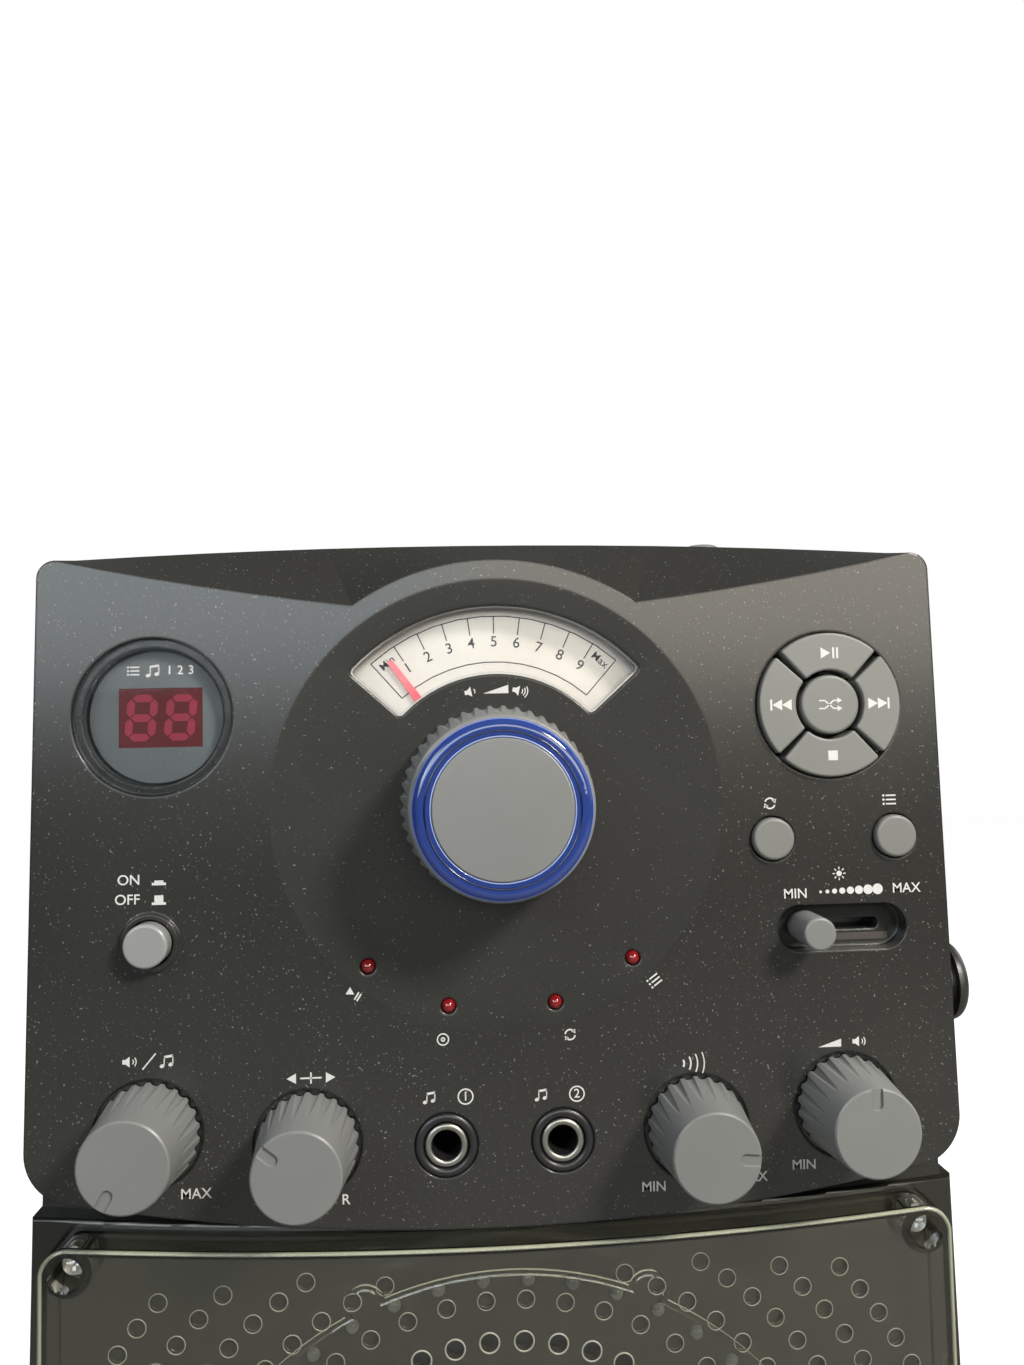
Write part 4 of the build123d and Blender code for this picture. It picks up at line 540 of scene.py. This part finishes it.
class Print:
    """Flat marks drawn in millimetres right of and above the main knob's axis, made into one mesh."""

    def __init__(self, name, body, material, lift=0.0, follow_dish=True, rear=False):
        self.name, self.body, self.material = name, body, material
        self.lift, self.follow_dish, self.rear = lift, follow_dish, rear
        self.parts = []

    def place(self, mesh, at, turn):
        """Put a drawn mesh on the panel: turned anticlockwise by turn degrees at a place."""
        c, s = cos(radians(turn)), sin(radians(turn))
        for vertex in mesh.vertices:
            x, y, z = vertex.co
            u = at[0] + c * x - s * y
            v = at[1] + s * x + c * y
            back = face_depth(u, v) if self.follow_dish else 0.0
            out = -self.lift + back - (ink_thickness if z > 0 else -ink_thickness / 2)
            if self.rear:
                u, out = -u, -self.lift + (ink_thickness if z > 0 else -ink_thickness / 2)
            vertex.co = (u * MM, face_y + out * MM, knob_z + v * MM)
        self.parts.append(mesh)

    def curve(self, at, turn, fill):
        """Run fill on a fresh flat curve and place the mesh that it makes."""
        data = bpy.data.curves.new(self.name, "CURVE")
        data.dimensions = "2D"
        data.fill_mode = "BOTH"
        data.extrude = 1.0
        fill(data)
        self.convert(data, at, turn)

    def convert(self, data, at, turn):
        """Turn a drawn curve into a mesh and place it."""
        holder = bpy.data.objects.new("drawing", data)
        scene.collection.objects.link(holder)
        shaped = holder.evaluated_get(bpy.context.evaluated_depsgraph_get())
        mesh = bpy.data.meshes.new_from_object(shaped)
        bpy.data.objects.remove(holder)
        self.place(mesh, at, turn)

    def text(self, words, at, height, turn=0.0):
        """Words centred on a place; height is that of a capital, 0.70 of the font's size."""
        data = bpy.data.curves.new("words", "FONT")
        data.body = words
        data.size = height / 0.70
        data.align_x = "CENTER"
        data.align_y = "CENTER"
        data.offset = 0.02
        data.extrude = 1.0
        self.convert(data, at, turn)

    def outline(self, loops, at, turn=0.0):
        """Filled shape from closed loops of points; an inner loop is a hole."""
        def fill(data):
            for loop in loops:
                spline = data.splines.new("POLY")
                spline.points.add(len(loop) - 1)
                for point, (x, y) in zip(spline.points, loop):
                    point.co = (x, y, 0, 1)
                spline.use_cyclic_u = True
        self.curve(at, turn, fill)

    def disc(self, at, radius, steps=32):
        """Filled circle."""
        self.outline([ring_points(radius, steps)], at)

    def bar(self, start, end, width):
        """Straight stroke between two places."""
        du, dv = end[0] - start[0], end[1] - start[1]
        long = sqrt(du * du + dv * dv)
        turn = (asin(dv / long) if du >= 0 else pi - asin(dv / long)) * 180 / pi
        middle = ((start[0] + end[0]) / 2, (start[1] + end[1]) / 2)
        self.outline([box_points(long, width)], middle, turn)

    def arc(self, at, radius, width, low, high, turn=0.0):
        """Stroke along an arc from low to high degrees."""
        steps = max(4, int(abs(high - low) / 7.5))
        outer = [polar(radius + width / 2, low + (high - low) * k / steps) for k in range(steps + 1)]
        inner = [polar(radius - width / 2, high - (high - low) * k / steps) for k in range(steps + 1)]
        self.outline([outer + inner], at, turn)

    def finish(self):
        """Join the drawn parts into one piece on its body."""
        vertices, faces = [], []
        for mesh in self.parts:
            first = len(vertices)
            vertices += [tuple(v.co) for v in mesh.vertices]
            faces += [[first + i for i in p.vertices] for p in mesh.polygons]
        made = bpy.data.meshes.new(self.name)
        made.from_pydata(vertices, [], faces)
        made.validate()
        made.materials.append(self.material)
        piece = bpy.data.objects.new(self.name, made)
        scene.collection.objects.link(piece)
        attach(piece, self.body)


def polar(radius, angle):
    """Place at a radius and an angle in degrees."""
    return radius * cos(radians(angle)), radius * sin(radians(angle))


def ring_points(radius, steps=32):
    """Circle as a loop of points."""
    return [polar(radius, 360 * k / steps) for k in range(steps)]


def box_points(width, height):
    """Centred rectangle as a loop of points."""
    return [(x * width / 2, y * height / 2) for x, y in ((-1, -1), (1, -1), (1, 1), (-1, 1))]


def triangle(width, height):
    """Triangle that points to the right, centred."""
    return [(-width / 2, -height / 2), (width / 2, 0), (-width / 2, height / 2)]


def moved(points, x, y=0.0):
    """Points shifted right and up."""
    return [(px + x, py + y) for px, py in points]


def note_sign(ink, at, s):
    """Two joined quavers, s being their scale."""
    for x, y in ((-1.0, -1.1), (1.15, -0.75)):
        ink.outline([[(0.62 * s * cos(a), 0.46 * s * sin(a)) for a in (2 * pi * k / 20 for k in range(20))]],
                    (at[0] + s * x, at[1] + s * y), 18)
    ink.outline([moved(box_points(0.26 * s, 2.4 * s), -0.5 * s, 0.1 * s)], at)
    ink.outline([moved(box_points(0.26 * s, 2.4 * s), 1.65 * s, 0.45 * s)], at)
    ink.outline([[(-0.63 * s, 0.8 * s), (1.78 * s, 1.15 * s), (1.78 * s, 1.75 * s), (-0.63 * s, 1.4 * s)]],
                at)


def speaker_sign(ink, at, waves, s, turn=0.0):
    """Loudspeaker with its sound waves to the right."""
    ink.outline([[(-1.7 * s, -0.5 * s), (-1.0 * s, -0.5 * s), (-0.1 * s, -1.2 * s), (-0.1 * s, 1.2 * s),
                  (-1.0 * s, 0.5 * s), (-1.7 * s, 0.5 * s)]], at, turn)
    for k in range(waves):
        ink.arc(at, (0.75 + 0.6 * k) * s, 0.24 * s, -42, 42, turn)


def level_wedge(ink, at, s):
    """Growing wedge: more to the right."""
    ink.outline([[(-2.6 * s, -0.8 * s), (2.6 * s, -0.8 * s), (2.6 * s, 0.9 * s)]], at)


def loop_sign(ink, at, s, turn=0.0):
    """Two arrows that chase each other round a loop."""
    for half in (0, 180):
        ink.arc(at, 1.15 * s, 0.34 * s, 20 + half, 160 + half, turn)
        tip = radians(20 + half + turn)
        ink.outline([triangle(0.9 * s, 1.1 * s)],
                    (at[0] + 1.15 * s * cos(tip), at[1] + 1.15 * s * sin(tip)), turn + half - 70)


def list_sign(ink, at, s, turn=0.0):
    """Three lines, each after a dot."""
    c, n = cos(radians(turn)), sin(radians(turn))
    for row in (-0.95, 0.0, 0.95):
        ink.outline([moved(box_points(2.3 * s, 0.34 * s), 0.45 * s, row * s)], at, turn)
        ink.disc((at[0] + s * (c * -1.25 - n * row), at[1] + s * (n * -1.25 + c * row)), 0.26 * s, 12)


def disc_sign(ink, at):
    """Disc with its bore."""
    ink.outline([ring_points(1.35), ring_points(1.08)], at)
    ink.outline([ring_points(0.5, 20), ring_points(0.22, 20)], at)


def play_pause_sign(ink, at, s, turn):
    """Triangle and two bars."""
    ink.outline([moved(triangle(1.7 * s, 1.9 * s), -0.75 * s)], at, turn)
    for x in (0.75, 1.4):
        ink.outline([moved(box_points(0.36 * s, 1.9 * s), x * s)], at, turn)


def sun_sign(ink, at):
    """Lamp that shines all round."""
    ink.disc(at, 0.62, 20)
    for k in range(8):
        near, far = moved([polar(0.95, 45.0 * k), polar(1.5, 45.0 * k)], *at)
        ink.bar(near, far, 0.24)


cap_height = 2.15
ink = Print("panel_marks", "cabinet", white_ink)
speaker_sign(ink, (-5.4, 25.0), 1, 0.95, 12)
level_wedge(ink, (0.0, 25.4), 1.1)
speaker_sign(ink, (5.4, 25.0), 3, 0.95, -12)
ink.text("ON", (-80.3, -14.7), cap_height)
ink.text("OFF", (-80.6, -18.9), cap_height)
for low, at in ((0.0, (-73.9, -15.2)), (1.0, (-73.9, -19.4))):
    ink.outline([box_points(3.0, 0.55)], (at[0], at[1] - 0.4))
    ink.outline([box_points(1.9, 0.5 + low)], (at[0], at[1] + 0.1 + low / 2))
speaker_sign(ink, (-80.0, -53.2), 2, 0.95)
note_sign(ink, (-72.4, -53.4), 0.85)
ink.bar((-77.4, -54.9), (-74.6, -51.6), 0.3)
ink.outline([moved(triangle(2.0, 2.2), 4.2), [(-5.2, 0), (-3.2, 1.1), (-3.2, -1.1)]], (-41.7, -58.1))
ink.outline([box_points(4.6, 0.34)], (-41.7, -58.1))
ink.outline([box_points(0.34, 2.4)], (-41.7, -58.1))
for k in range(4):
    ink.arc((38.6, -58.2), 1.4 + 1.5 * k, 0.42 - 0.06 * k, -32 + 3 * k, 32 - 3 * k)
level_wedge(ink, (73.0, -55.1), 1.0)
speaker_sign(ink, (79.8, -54.9), 2, 0.95)
note_sign(ink, (-16.4, -63.4), 0.8)
note_sign(ink, (8.0, -63.8), 0.8)
for number, at in (("1", (-8.4, -63.4)), ("2", (16.0, -63.8))):
    ink.outline([ring_points(1.75), ring_points(1.45)], at)
    ink.text(number, at, 1.9)
ink.text("MIN", (32.5, -84.5), cap_height)
ink.text("MIN", (66.2, -81.3), cap_height)
ink.text("MAX", (54.6, -83.4), cap_height)
ink.text("MAX", (-66.2, -81.4), cap_height)
ink.text("R", (-34.5, -84.1), cap_height)
ink.text("L", (-52.0, -83.6), cap_height)
sun_sign(ink, (76.6, -17.6))
ink.text("MIN", (66.4, -21.9), cap_height)
ink.text("MAX", (92.0, -21.3), cap_height)
level_dots = 8
for k in range(level_dots):
    grow = k / (level_dots - 1)
    ink.disc((72.2 + 1.5 * k + 0.054 * k * k, -21.6 + 0.3 * grow), 0.31 + 0.127 * k, 24)
loop_sign(ink, (61.3, -1.5), 1.0)
list_sign(ink, (88.8, -1.3), 1.0)
play_pause_sign(ink, (-32.3, -40.6), 0.95, -33)
disc_sign(ink, (-13.1, -51.0))
loop_sign(ink, (14.8, -51.0), 0.95, 12)
list_sign(ink, (33.8, -40.0), 0.95, 36)
ink.finish()

# ---------------------------------------------------------------- main knob
# A fluted grey skirt pressed on the shaft. A translucent blue ring glows between it and a flat cap.
knob_grey = moulded("knob_grey", (0.206, 0.212, 0.206), 0.40, grain=0.25, depth=0.014, soft=0.15)
cap_grey = moulded("cap_grey", (0.196, 0.202, 0.197), 0.38, grain=0.20, depth=0.014, sheen_patch=0.06)
dress(["main_knob_skirt"], knob_grey)
dress(["main_knob_cap"], cap_grey)
dress(["main_shaft", "main_volume_pot", "tone_pots"], bright_steel)


def glowing(name, colour, light, strength, roughness=0.15, coat=0.6):
    """Coloured plastic given a glow, a little uneven round its length: lit from inside for the lamps, the
    blue ring and the display; a painted glow on the pointer, and painted highlight or painted shade on the
    ring's thin beads.
    """
    material, add, link, base = blank_material(name)
    base.inputs["Base Color"].default_value = (*colour, 1)
    base.inputs["Roughness"].default_value = roughness
    base.inputs["Coat Weight"].default_value = coat
    base.inputs["Coat Roughness"].default_value = 0.05
    base.inputs["Specular IOR Level"].default_value = 0.5 if coat else 0.1
    where = add("ShaderNodeTexCoord")
    patch = add("ShaderNodeTexNoise")
    patch.inputs["Scale"].default_value = 90.0
    link(where.outputs["Object"], patch.inputs["Vector"])
    shade = add("ShaderNodeMix")
    shade.data_type = "RGBA"
    shade.inputs["A"].default_value = (*[c * 0.6 for c in light], 1)
    shade.inputs["B"].default_value = (*light, 1)
    link(patch.outputs["Fac"], shade.inputs["Factor"])
    link(shade.outputs["Result"], base.inputs["Emission Color"])
    base.inputs["Emission Strength"].default_value = strength
    return material


dress(["main_knob_ring"], glowing("blue_ring", (0.022, 0.050, 0.20), (0.010, 0.026, 0.34), 0.20, 0.10))


def lathe(name, profile, at, body, material, steps=64):
    """Turned piece on a front-to-back axis: profile is (radius, depth behind the face) in order."""
    vertices, faces = [], []
    for radius, back in profile:
        for k in range(steps):
            a = 2 * pi * k / steps
            vertices.append(((at[0] + radius * cos(a)) * MM, face_y + back * MM,
                             knob_z + (at[1] + radius * sin(a)) * MM))
    for r in range(len(profile)):
        first, second = r * steps, (r + 1) % len(profile) * steps
        for k in range(steps):
            n = (k + 1) % steps
            faces.append((first + k, second + k, second + n, first + n))
    mesh = bpy.data.meshes.new(name)
    mesh.from_pydata(vertices, [], faces)
    mesh.materials.append(material)
    mesh.shade_smooth()
    piece = bpy.data.objects.new(name, mesh)
    scene.collection.objects.link(piece)
    turn_outwards(piece)
    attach(piece, body)


def round_section(radius, back, thick, steps=10):
    """Circle section for a lathe, centred at a radius and depth."""
    return [(radius + thick * cos(2 * pi * k / steps), back + thick * sin(2 * pi * k / steps))
            for k in range(steps)]


ring_front = (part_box("main_knob_ring")[0].y - face_y) / MM
# The bright blue bead on the ring's outer edge glows as a painted highlight.
lathe("ring_outer_painted_highlight", round_section(18.2, ring_front + 1.5, 0.28), (0, 0), "main_knob",
      glowing("painted_highlight_blue", (0.10, 0.18, 0.60), (0.10, 0.22, 1.0), 0.55), 96)
# The dark blue bead in the ring's groove is painted shade.
lathe("ring_groove_painted_shade", round_section(15.9, ring_front + 0.06, 0.22), (0, 0), "main_knob",
      glowing("painted_shade_blue", (0.004, 0.010, 0.05), (0.0, 0.005, 0.04), 0.2), 96)
# The pale blue bead at the ring's inner edge glows as a painted highlight.
lathe("ring_inner_painted_highlight", round_section(14.75, ring_front + 0.02, 0.16), (0, 0), "main_knob",
      glowing("painted_highlight_pale_blue", (0.30, 0.38, 0.62), (0.20, 0.30, 0.8), 0.25), 96)

# ---------------------------------------------------------------- small knobs
# Four one-piece grey knobs, fluted at the foot, each with a notch in its face for a mark.
dress(["voice_knob", "balance_knob", "echo_knob", "microphone_knob"], knob_grey)

# ---------------------------------------------------------------- volume dial
# A satin plate printed in black sits behind a clear window. A red pointer, geared to the knob,
# swings between them.
dress(["dial_scale"], two_tone("dial_plate", (0.60, 0.56, 0.51), (0.80, 0.77, 0.73), 60.0, 0.42, metal=0.30))
dress(["dial_window"], clear("dial_clear", (0.80, 0.82, 0.82), 0.02, 0.60, 0.03))
# The pointer's faint glow is painted light: it is red plastic, not a lamp.
dress(["dial_pointer"], glowing("pointer_red_painted_glow", (0.80, 0.10, 0.13), (1.0, 0.16, 0.20), 0.25, 0.35))
dress(["idler_gear"], moulded("acetal", (0.70, 0.68, 0.62), 0.35))
dress(["gear_plate"], bright_steel)

black_ink = moulded("black_ink", (0.03, 0.03, 0.032), 0.5, grain=0.2, depth=0.004)
scale_front = (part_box("dial_scale")[0].y - face_y) / MM
dial = Print("dial_marks", "cabinet", black_ink, lift=-scale_front, follow_dish=False)
frame_outer = 42.6
frame_inner = 32.0
frame_angle = 41.5
tick_length = 4.1
tick_step = 8.16
number_radius = 36.6
line = 0.26
top_number = 5
for number in range(1, 10):
    lean = -(number - top_number) * tick_step
    dial.bar(polar(frame_outer - tick_length, 90 + lean), polar(frame_outer, 90 + lean), line)
    dial.text(str(number), polar(number_radius, 90 + lean), 2.4, lean)
for radius in (frame_inner, frame_outer):
    dial.arc((0, 0), radius, line, 90 - frame_angle, 90 + frame_angle)
for side, word in ((1, "Min"), (-1, "Max")):
    dial.bar(polar(frame_inner, 90 + side * frame_angle), polar(frame_outer, 90 + side * frame_angle), line)
    dial.text(word, polar(40.3, 90 + side * 37.4), 1.8, side * 42)
dial.finish()


def rounded_sector(inner, outer, half_angle, corner):
    """Closed outline of a ring slice about straight up, its corners eased."""
    points = []
    for radius, low, high in ((outer, 90 - half_angle, 90 + half_angle),
                              (inner, 90 + half_angle, 90 - half_angle)):
        ease = (1 if high > low else -1) * corner / radius * 180 / pi
        into = corner if radius == inner else -corner
        points.append(polar(radius + into, low))
        points.append(polar(radius + into * 0.3, low + ease * 0.3))
        for k in range(25):
            points.append(polar(radius, low + ease + (high - low - 2 * ease) * k / 24))
        points.append(polar(radius + into * 0.3, high - ease * 0.3))
        points.append(polar(radius + into, high))
    return points


window_front = (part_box("dial_window")[0].y - face_y) / MM
# The pale outline round the dial window's opening is a painted highlight for the light on the window's
# edges.
rim_painted_highlight = moulded("rim_painted_highlight", (0.62, 0.62, 0.58), 0.2, grain=0.2, depth=0.003)
window_edge_painted_highlight = Print("window_edge_painted_highlight", "cabinet", rim_painted_highlight, lift=-window_front - 0.02, follow_dish=False)
window_edge_painted_highlight.outline([rounded_sector(28.95, 44.25, 47.9, 1.2), rounded_sector(29.2, 44.0, 47.5, 1.1)], (0, 0))
window_edge_painted_highlight.finish()

# ---------------------------------------------------------------- track display
# A smoked round lens, snapped into the panel, over a dark mask with a red window for two digits.
dress(["display_lens"], clear("smoked_lens", (0.10, 0.12, 0.13), 0.04, 0.85, 0.04))
dress(["display_module"], moulded("digit_block", (0.05, 0.012, 0.012), 0.3))
display_at = (-75.3, 20.6)
mask_grey = moulded("mask_grey", (0.160, 0.190, 0.198), 0.55, grain=0.2, depth=0.004, fleck=0.4)
window_red = glowing("window_red", (0.085, 0.016, 0.018), (0.16, 0.018, 0.024), 0.5, 0.6, 0.0)
segment_red = glowing("segment_red", (0.20, 0.030, 0.045), (0.50, 0.050, 0.095), 0.5, 0.6, 0.0)
module_front = (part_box("display_module")[0].y - face_y) / MM
mask = Print("display_mask", "cabinet", mask_grey, lift=-module_front + 0.5, follow_dish=False)
window_at = (-74.5, 20.5)
window_size = (18.3, 13.2)
mask.outline([ring_points(14.6, 64), moved(box_points(*window_size), window_at[0] - display_at[0],
                                           window_at[1] - display_at[1])], display_at)
mask.finish()
glass = Print("display_window", "cabinet", window_red, lift=-module_front + 0.2, follow_dish=False)
glass.outline([box_points(window_size[0] + 0.6, window_size[1] + 0.6)], window_at)
glass.finish()
digit_height = 10.16
digit_width = 5.6
digits = Print("display_digits", "cabinet", segment_red, lift=-module_front + 0.32, follow_dish=False)


def segment(at, length, turn):
    """One bar of a digit, pointed at both ends."""
    half, thick = length / 2, 0.85
    digits.outline([[(-half, 0), (-half + thick, thick), (half - thick, thick), (half, 0),
                     (half - thick, -thick), (-half + thick, -thick)]], at, turn)


across = digit_width - 1.1
up = digit_height / 2 - 0.75
lean_share = 0.10
for middle in (-4.3, 4.3):
    for row in (-up, 0, up):
        segment((window_at[0] + middle + row * lean_share, window_at[1] + row), across, 0)
    for column in (-across / 2 - 0.25, across / 2 + 0.25):
        for row in (-up / 2, up / 2):
            segment((window_at[0] + middle + column + row * lean_share, window_at[1] + row), up - 0.35, 84.5)
digits.finish()
lens_front = (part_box("display_lens")[0].y - face_y) / MM
lens_ink = Print("lens_marks", "cabinet", white_ink, lift=-lens_front, follow_dish=False)
list_sign(lens_ink, (-79.0, 30.6), 0.85)
note_sign(lens_ink, (-74.9, 30.5), 0.85)
for k, number in enumerate(("1", "2", "3")):
    lens_ink.text(number, (-71.2 + 2.3 * k, 30.6), 1.9)
lens_ink.finish()

# ---------------------------------------------------------------- keys
# Grey keys in the panel: a ring of four with one in the middle, and two round ones below. The five keys of
# the ring have their signs printed on their faces.
keys = ["play_key", "next_key", "stop_key", "previous_key", "random_key", "repeat_key", "program_key"]
dress(keys, moulded("key_grey", (0.192, 0.196, 0.184), 0.42, grain=0.25, depth=0.014, soft=0.25))
dress(["power_button"], moulded("button_grey", (0.31, 0.32, 0.315), 0.26, coat=0.5, soft=0.4))
key_front = (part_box("play_key")[0].y - face_y) / MM


def key_ink(name):
    """Print on a key's face, which rides on the key."""
    return Print(name + "_sign", name, white_ink, lift=-key_front, follow_dish=False)


play_ink = key_ink("play_key")
play_ink.outline([triangle(2.2, 2.5)], (74.8, 32.2))
for x in (76.6, 77.5):
    play_ink.outline([box_points(0.45, 2.5)], (x, 32.2))
play_ink.finish()
for name, side, at in (("previous_key", -1, (64.0, 20.6)), ("next_key", 1, (86.9, 20.6))):
    skip = key_ink(name)
    for step in (-1.5, 0.7):
        skip.outline([[(side * x, y) for x, y in triangle(2.2, 2.5)]], (at[0] + side * step, at[1]))
    skip.outline([box_points(0.45, 2.5)], (at[0] + side * 2.1, at[1]))
    skip.finish()
stop_ink = key_ink("stop_key")
stop_ink.outline([box_points(2.2, 2.2)], (75.7, 9.0))
stop_ink.finish()
shuffle = key_ink("random_key")
shuffle_u, shuffle_v = 75.5, 20.5
for way in (-0.9, 0.9):
    for start, rise, end, top in ((-2.6, -1, -1.2, -1), (-1.25, -1, 0.75, 1), (0.7, 1, 1.7, 1)):
        shuffle.bar((shuffle_u + start, shuffle_v + rise * way), (shuffle_u + end, shuffle_v + top * way),
                    0.34)
    shuffle.outline([triangle(1.1, 1.3)], (shuffle_u + 2.2, shuffle_v + way))
shuffle.finish()

# ---------------------------------------------------------------- light slider
# A grey button on a stem that runs in a slot with rounded ends.
dress(["slider_cap"], knob_grey)
dress(["slider_pot"], satin_black)
slot_depth = 4.15
# The black strip across the slot's upper part is painted shade for the dark open slit; the brown strip below
# is the slider's ledge.
painted_slot_shade = moulded("painted_slot_shade", (0.006, 0.006, 0.006), 0.9, grain=0.3, depth=0.03)
ledge_brown = moulded("ledge_brown", (0.060, 0.050, 0.043), 0.6, grain=0.3, depth=0.01)
for name, finish, size, at in (("slot_painted_shade", painted_slot_shade, (24.5, 3.3), (76.9, -26.45)),
                               ("slot_ledge", ledge_brown, (20.0, 1.6), (78.9, -32.4))):
    strip = Print(name, "cabinet", finish, lift=-slot_depth, follow_dish=False)
    strip.outline([box_points(*size)], at)
    strip.finish()

# ---------------------------------------------------------------- status lamps and microphone jacks
# Four red lamps show through holes round the dish. The jacks have a plated bush in a dark body.
dress(["status_lamps"], glowing("lamp_red", (0.22, 0.005, 0.008), (0.45, 0.01, 0.015), 0.05, 0.06))
dress(["microphone_jack_1", "microphone_jack_2"], satin_black)
dull_nickel = brushed("dull_nickel", (0.30, 0.30, 0.27), 0.34)
for number, at in enumerate(((-12.7, -73.6), (12.7, -73.6)), 1):
    lathe("jack_bush_%d" % number,
          [(3.22, 0.5), (3.22, 0.1), (3.5, -0.25), (4.3, -0.25), (4.7, 0.1), (4.7, 0.5)],
          at, "cabinet", dull_nickel)
    lathe("jack_collar_%d" % number,
          [(4.95, 0.9), (4.95, 0.2), (5.4, -0.3), (6.3, -0.3), (6.85, 0.2), (6.85, 0.9)],
          at, "cabinet", satin_black)

# ---------------------------------------------------------------- disc tray, lid and mechanism
# The disc lies in a well under a hinged lid with a clear window. It seats on a small turntable,
# and a laser pickup runs on two steel rods in a slot beside it.
dress(["disc_tray", "turntable", "pickup_sled"], satin_black)
dress(["disc_lid"], black_grain)
dress(["lid_window"], clear("lid_clear", (0.20, 0.22, 0.24), 0.06, 0.60, haze_from=0.35))
dress(["lid_button"], knob_grey)
dress(["guide_rods", "spindle_motor"], bright_steel)
dress(["mechanism_chassis"], brushed("zinc_plate", (0.55, 0.55, 0.53), 0.32, (1, 12, 1)))

hub_low, hub_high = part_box("turntable")


def hub_balls():
    """Three sprung steel balls that hold the disc, set into the hub's side."""
    tree, add, link, sizes = shape_tree("hub_balls", {"Ball radius": 0.9 * MM, "Circle radius": 6.75 * MM})
    ring = add("GeometryNodeMeshCircle")
    ring.inputs["Vertices"].default_value = 3
    link(sizes.outputs["Circle radius"], ring.inputs["Radius"])
    ball = add("GeometryNodeMeshIcoSphere")
    ball.inputs["Subdivisions"].default_value = 3
    link(sizes.outputs["Ball radius"], ball.inputs["Radius"])
    spread = add("GeometryNodeInstanceOnPoints")
    link(ring.outputs["Mesh"], spread.inputs["Points"])
    link(ball.outputs["Mesh"], spread.inputs["Instance"])
    stand = add("GeometryNodeTransform")
    stand.inputs["Translation"].default_value = ((hub_low.x + hub_high.x) / 2, (hub_low.y + hub_high.y) / 2,
                                                 hub_high.z - 1.9 * MM)
    link(spread.outputs["Instances"], stand.inputs["Geometry"])
    end_tree(add, link, stand.outputs["Geometry"], bright_steel)
    return tree


realized("hub_balls", hub_balls(), "turntable", bright_steel)

# ---------------------------------------------------------------- back
# Three plated phono sockets with coloured inserts, a power inlet and slots that let the air out.
# Its signs are pad printed in white as the panel's are.
dress(["sound_sockets"], plated_brass)
dress(["power_inlet"], satin_black)
back_face = (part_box("rear_cover")[1].y - face_y) / MM
socket_tip = (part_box("sound_sockets")[1].y - face_y) / MM
socket_row = -120.0
for name, x, colour in (("white", 16.0, (0.75, 0.75, 0.73)), ("red", 0.0, (0.48, 0.02, 0.02)),
                        ("yellow", -16.0, (0.70, 0.50, 0.03))):
    lathe("socket_insert_" + name, [(1.72, socket_tip - 0.6), (1.72, socket_tip + 0.02),
                                    (3.5, socket_tip + 0.02), (3.5, socket_tip - 0.6)],
          (x, socket_row), "cabinet", moulded("insert_" + name, colour, 0.3, grain=0.3, depth=0.004), 32)
rear_ink = Print("rear_marks", "cabinet", white_ink, lift=-back_face, follow_dish=False, rear=True)
sign_row, inlet_row = socket_row + 9.0, socket_row + 9.5
rear_ink.text("L", (-16.0, sign_row), 2.6)
rear_ink.text("R", (0.0, sign_row), 2.6)
rear_ink.outline([box_points(4.4, 3.2), box_points(3.8, 2.6)], (16.0, sign_row))
rear_ink.outline([triangle(1.6, 1.6)], (16.1, sign_row))
rear_ink.outline([ring_points(1.5), ring_points(1.15)], (-62.0, inlet_row))
rear_ink.disc((-62.0, inlet_row), 0.55, 16)
for start in (-68.0, -60.4):
    rear_ink.bar((start, inlet_row), (start + 4.4, inlet_row), 0.3)
rear_ink.finish()
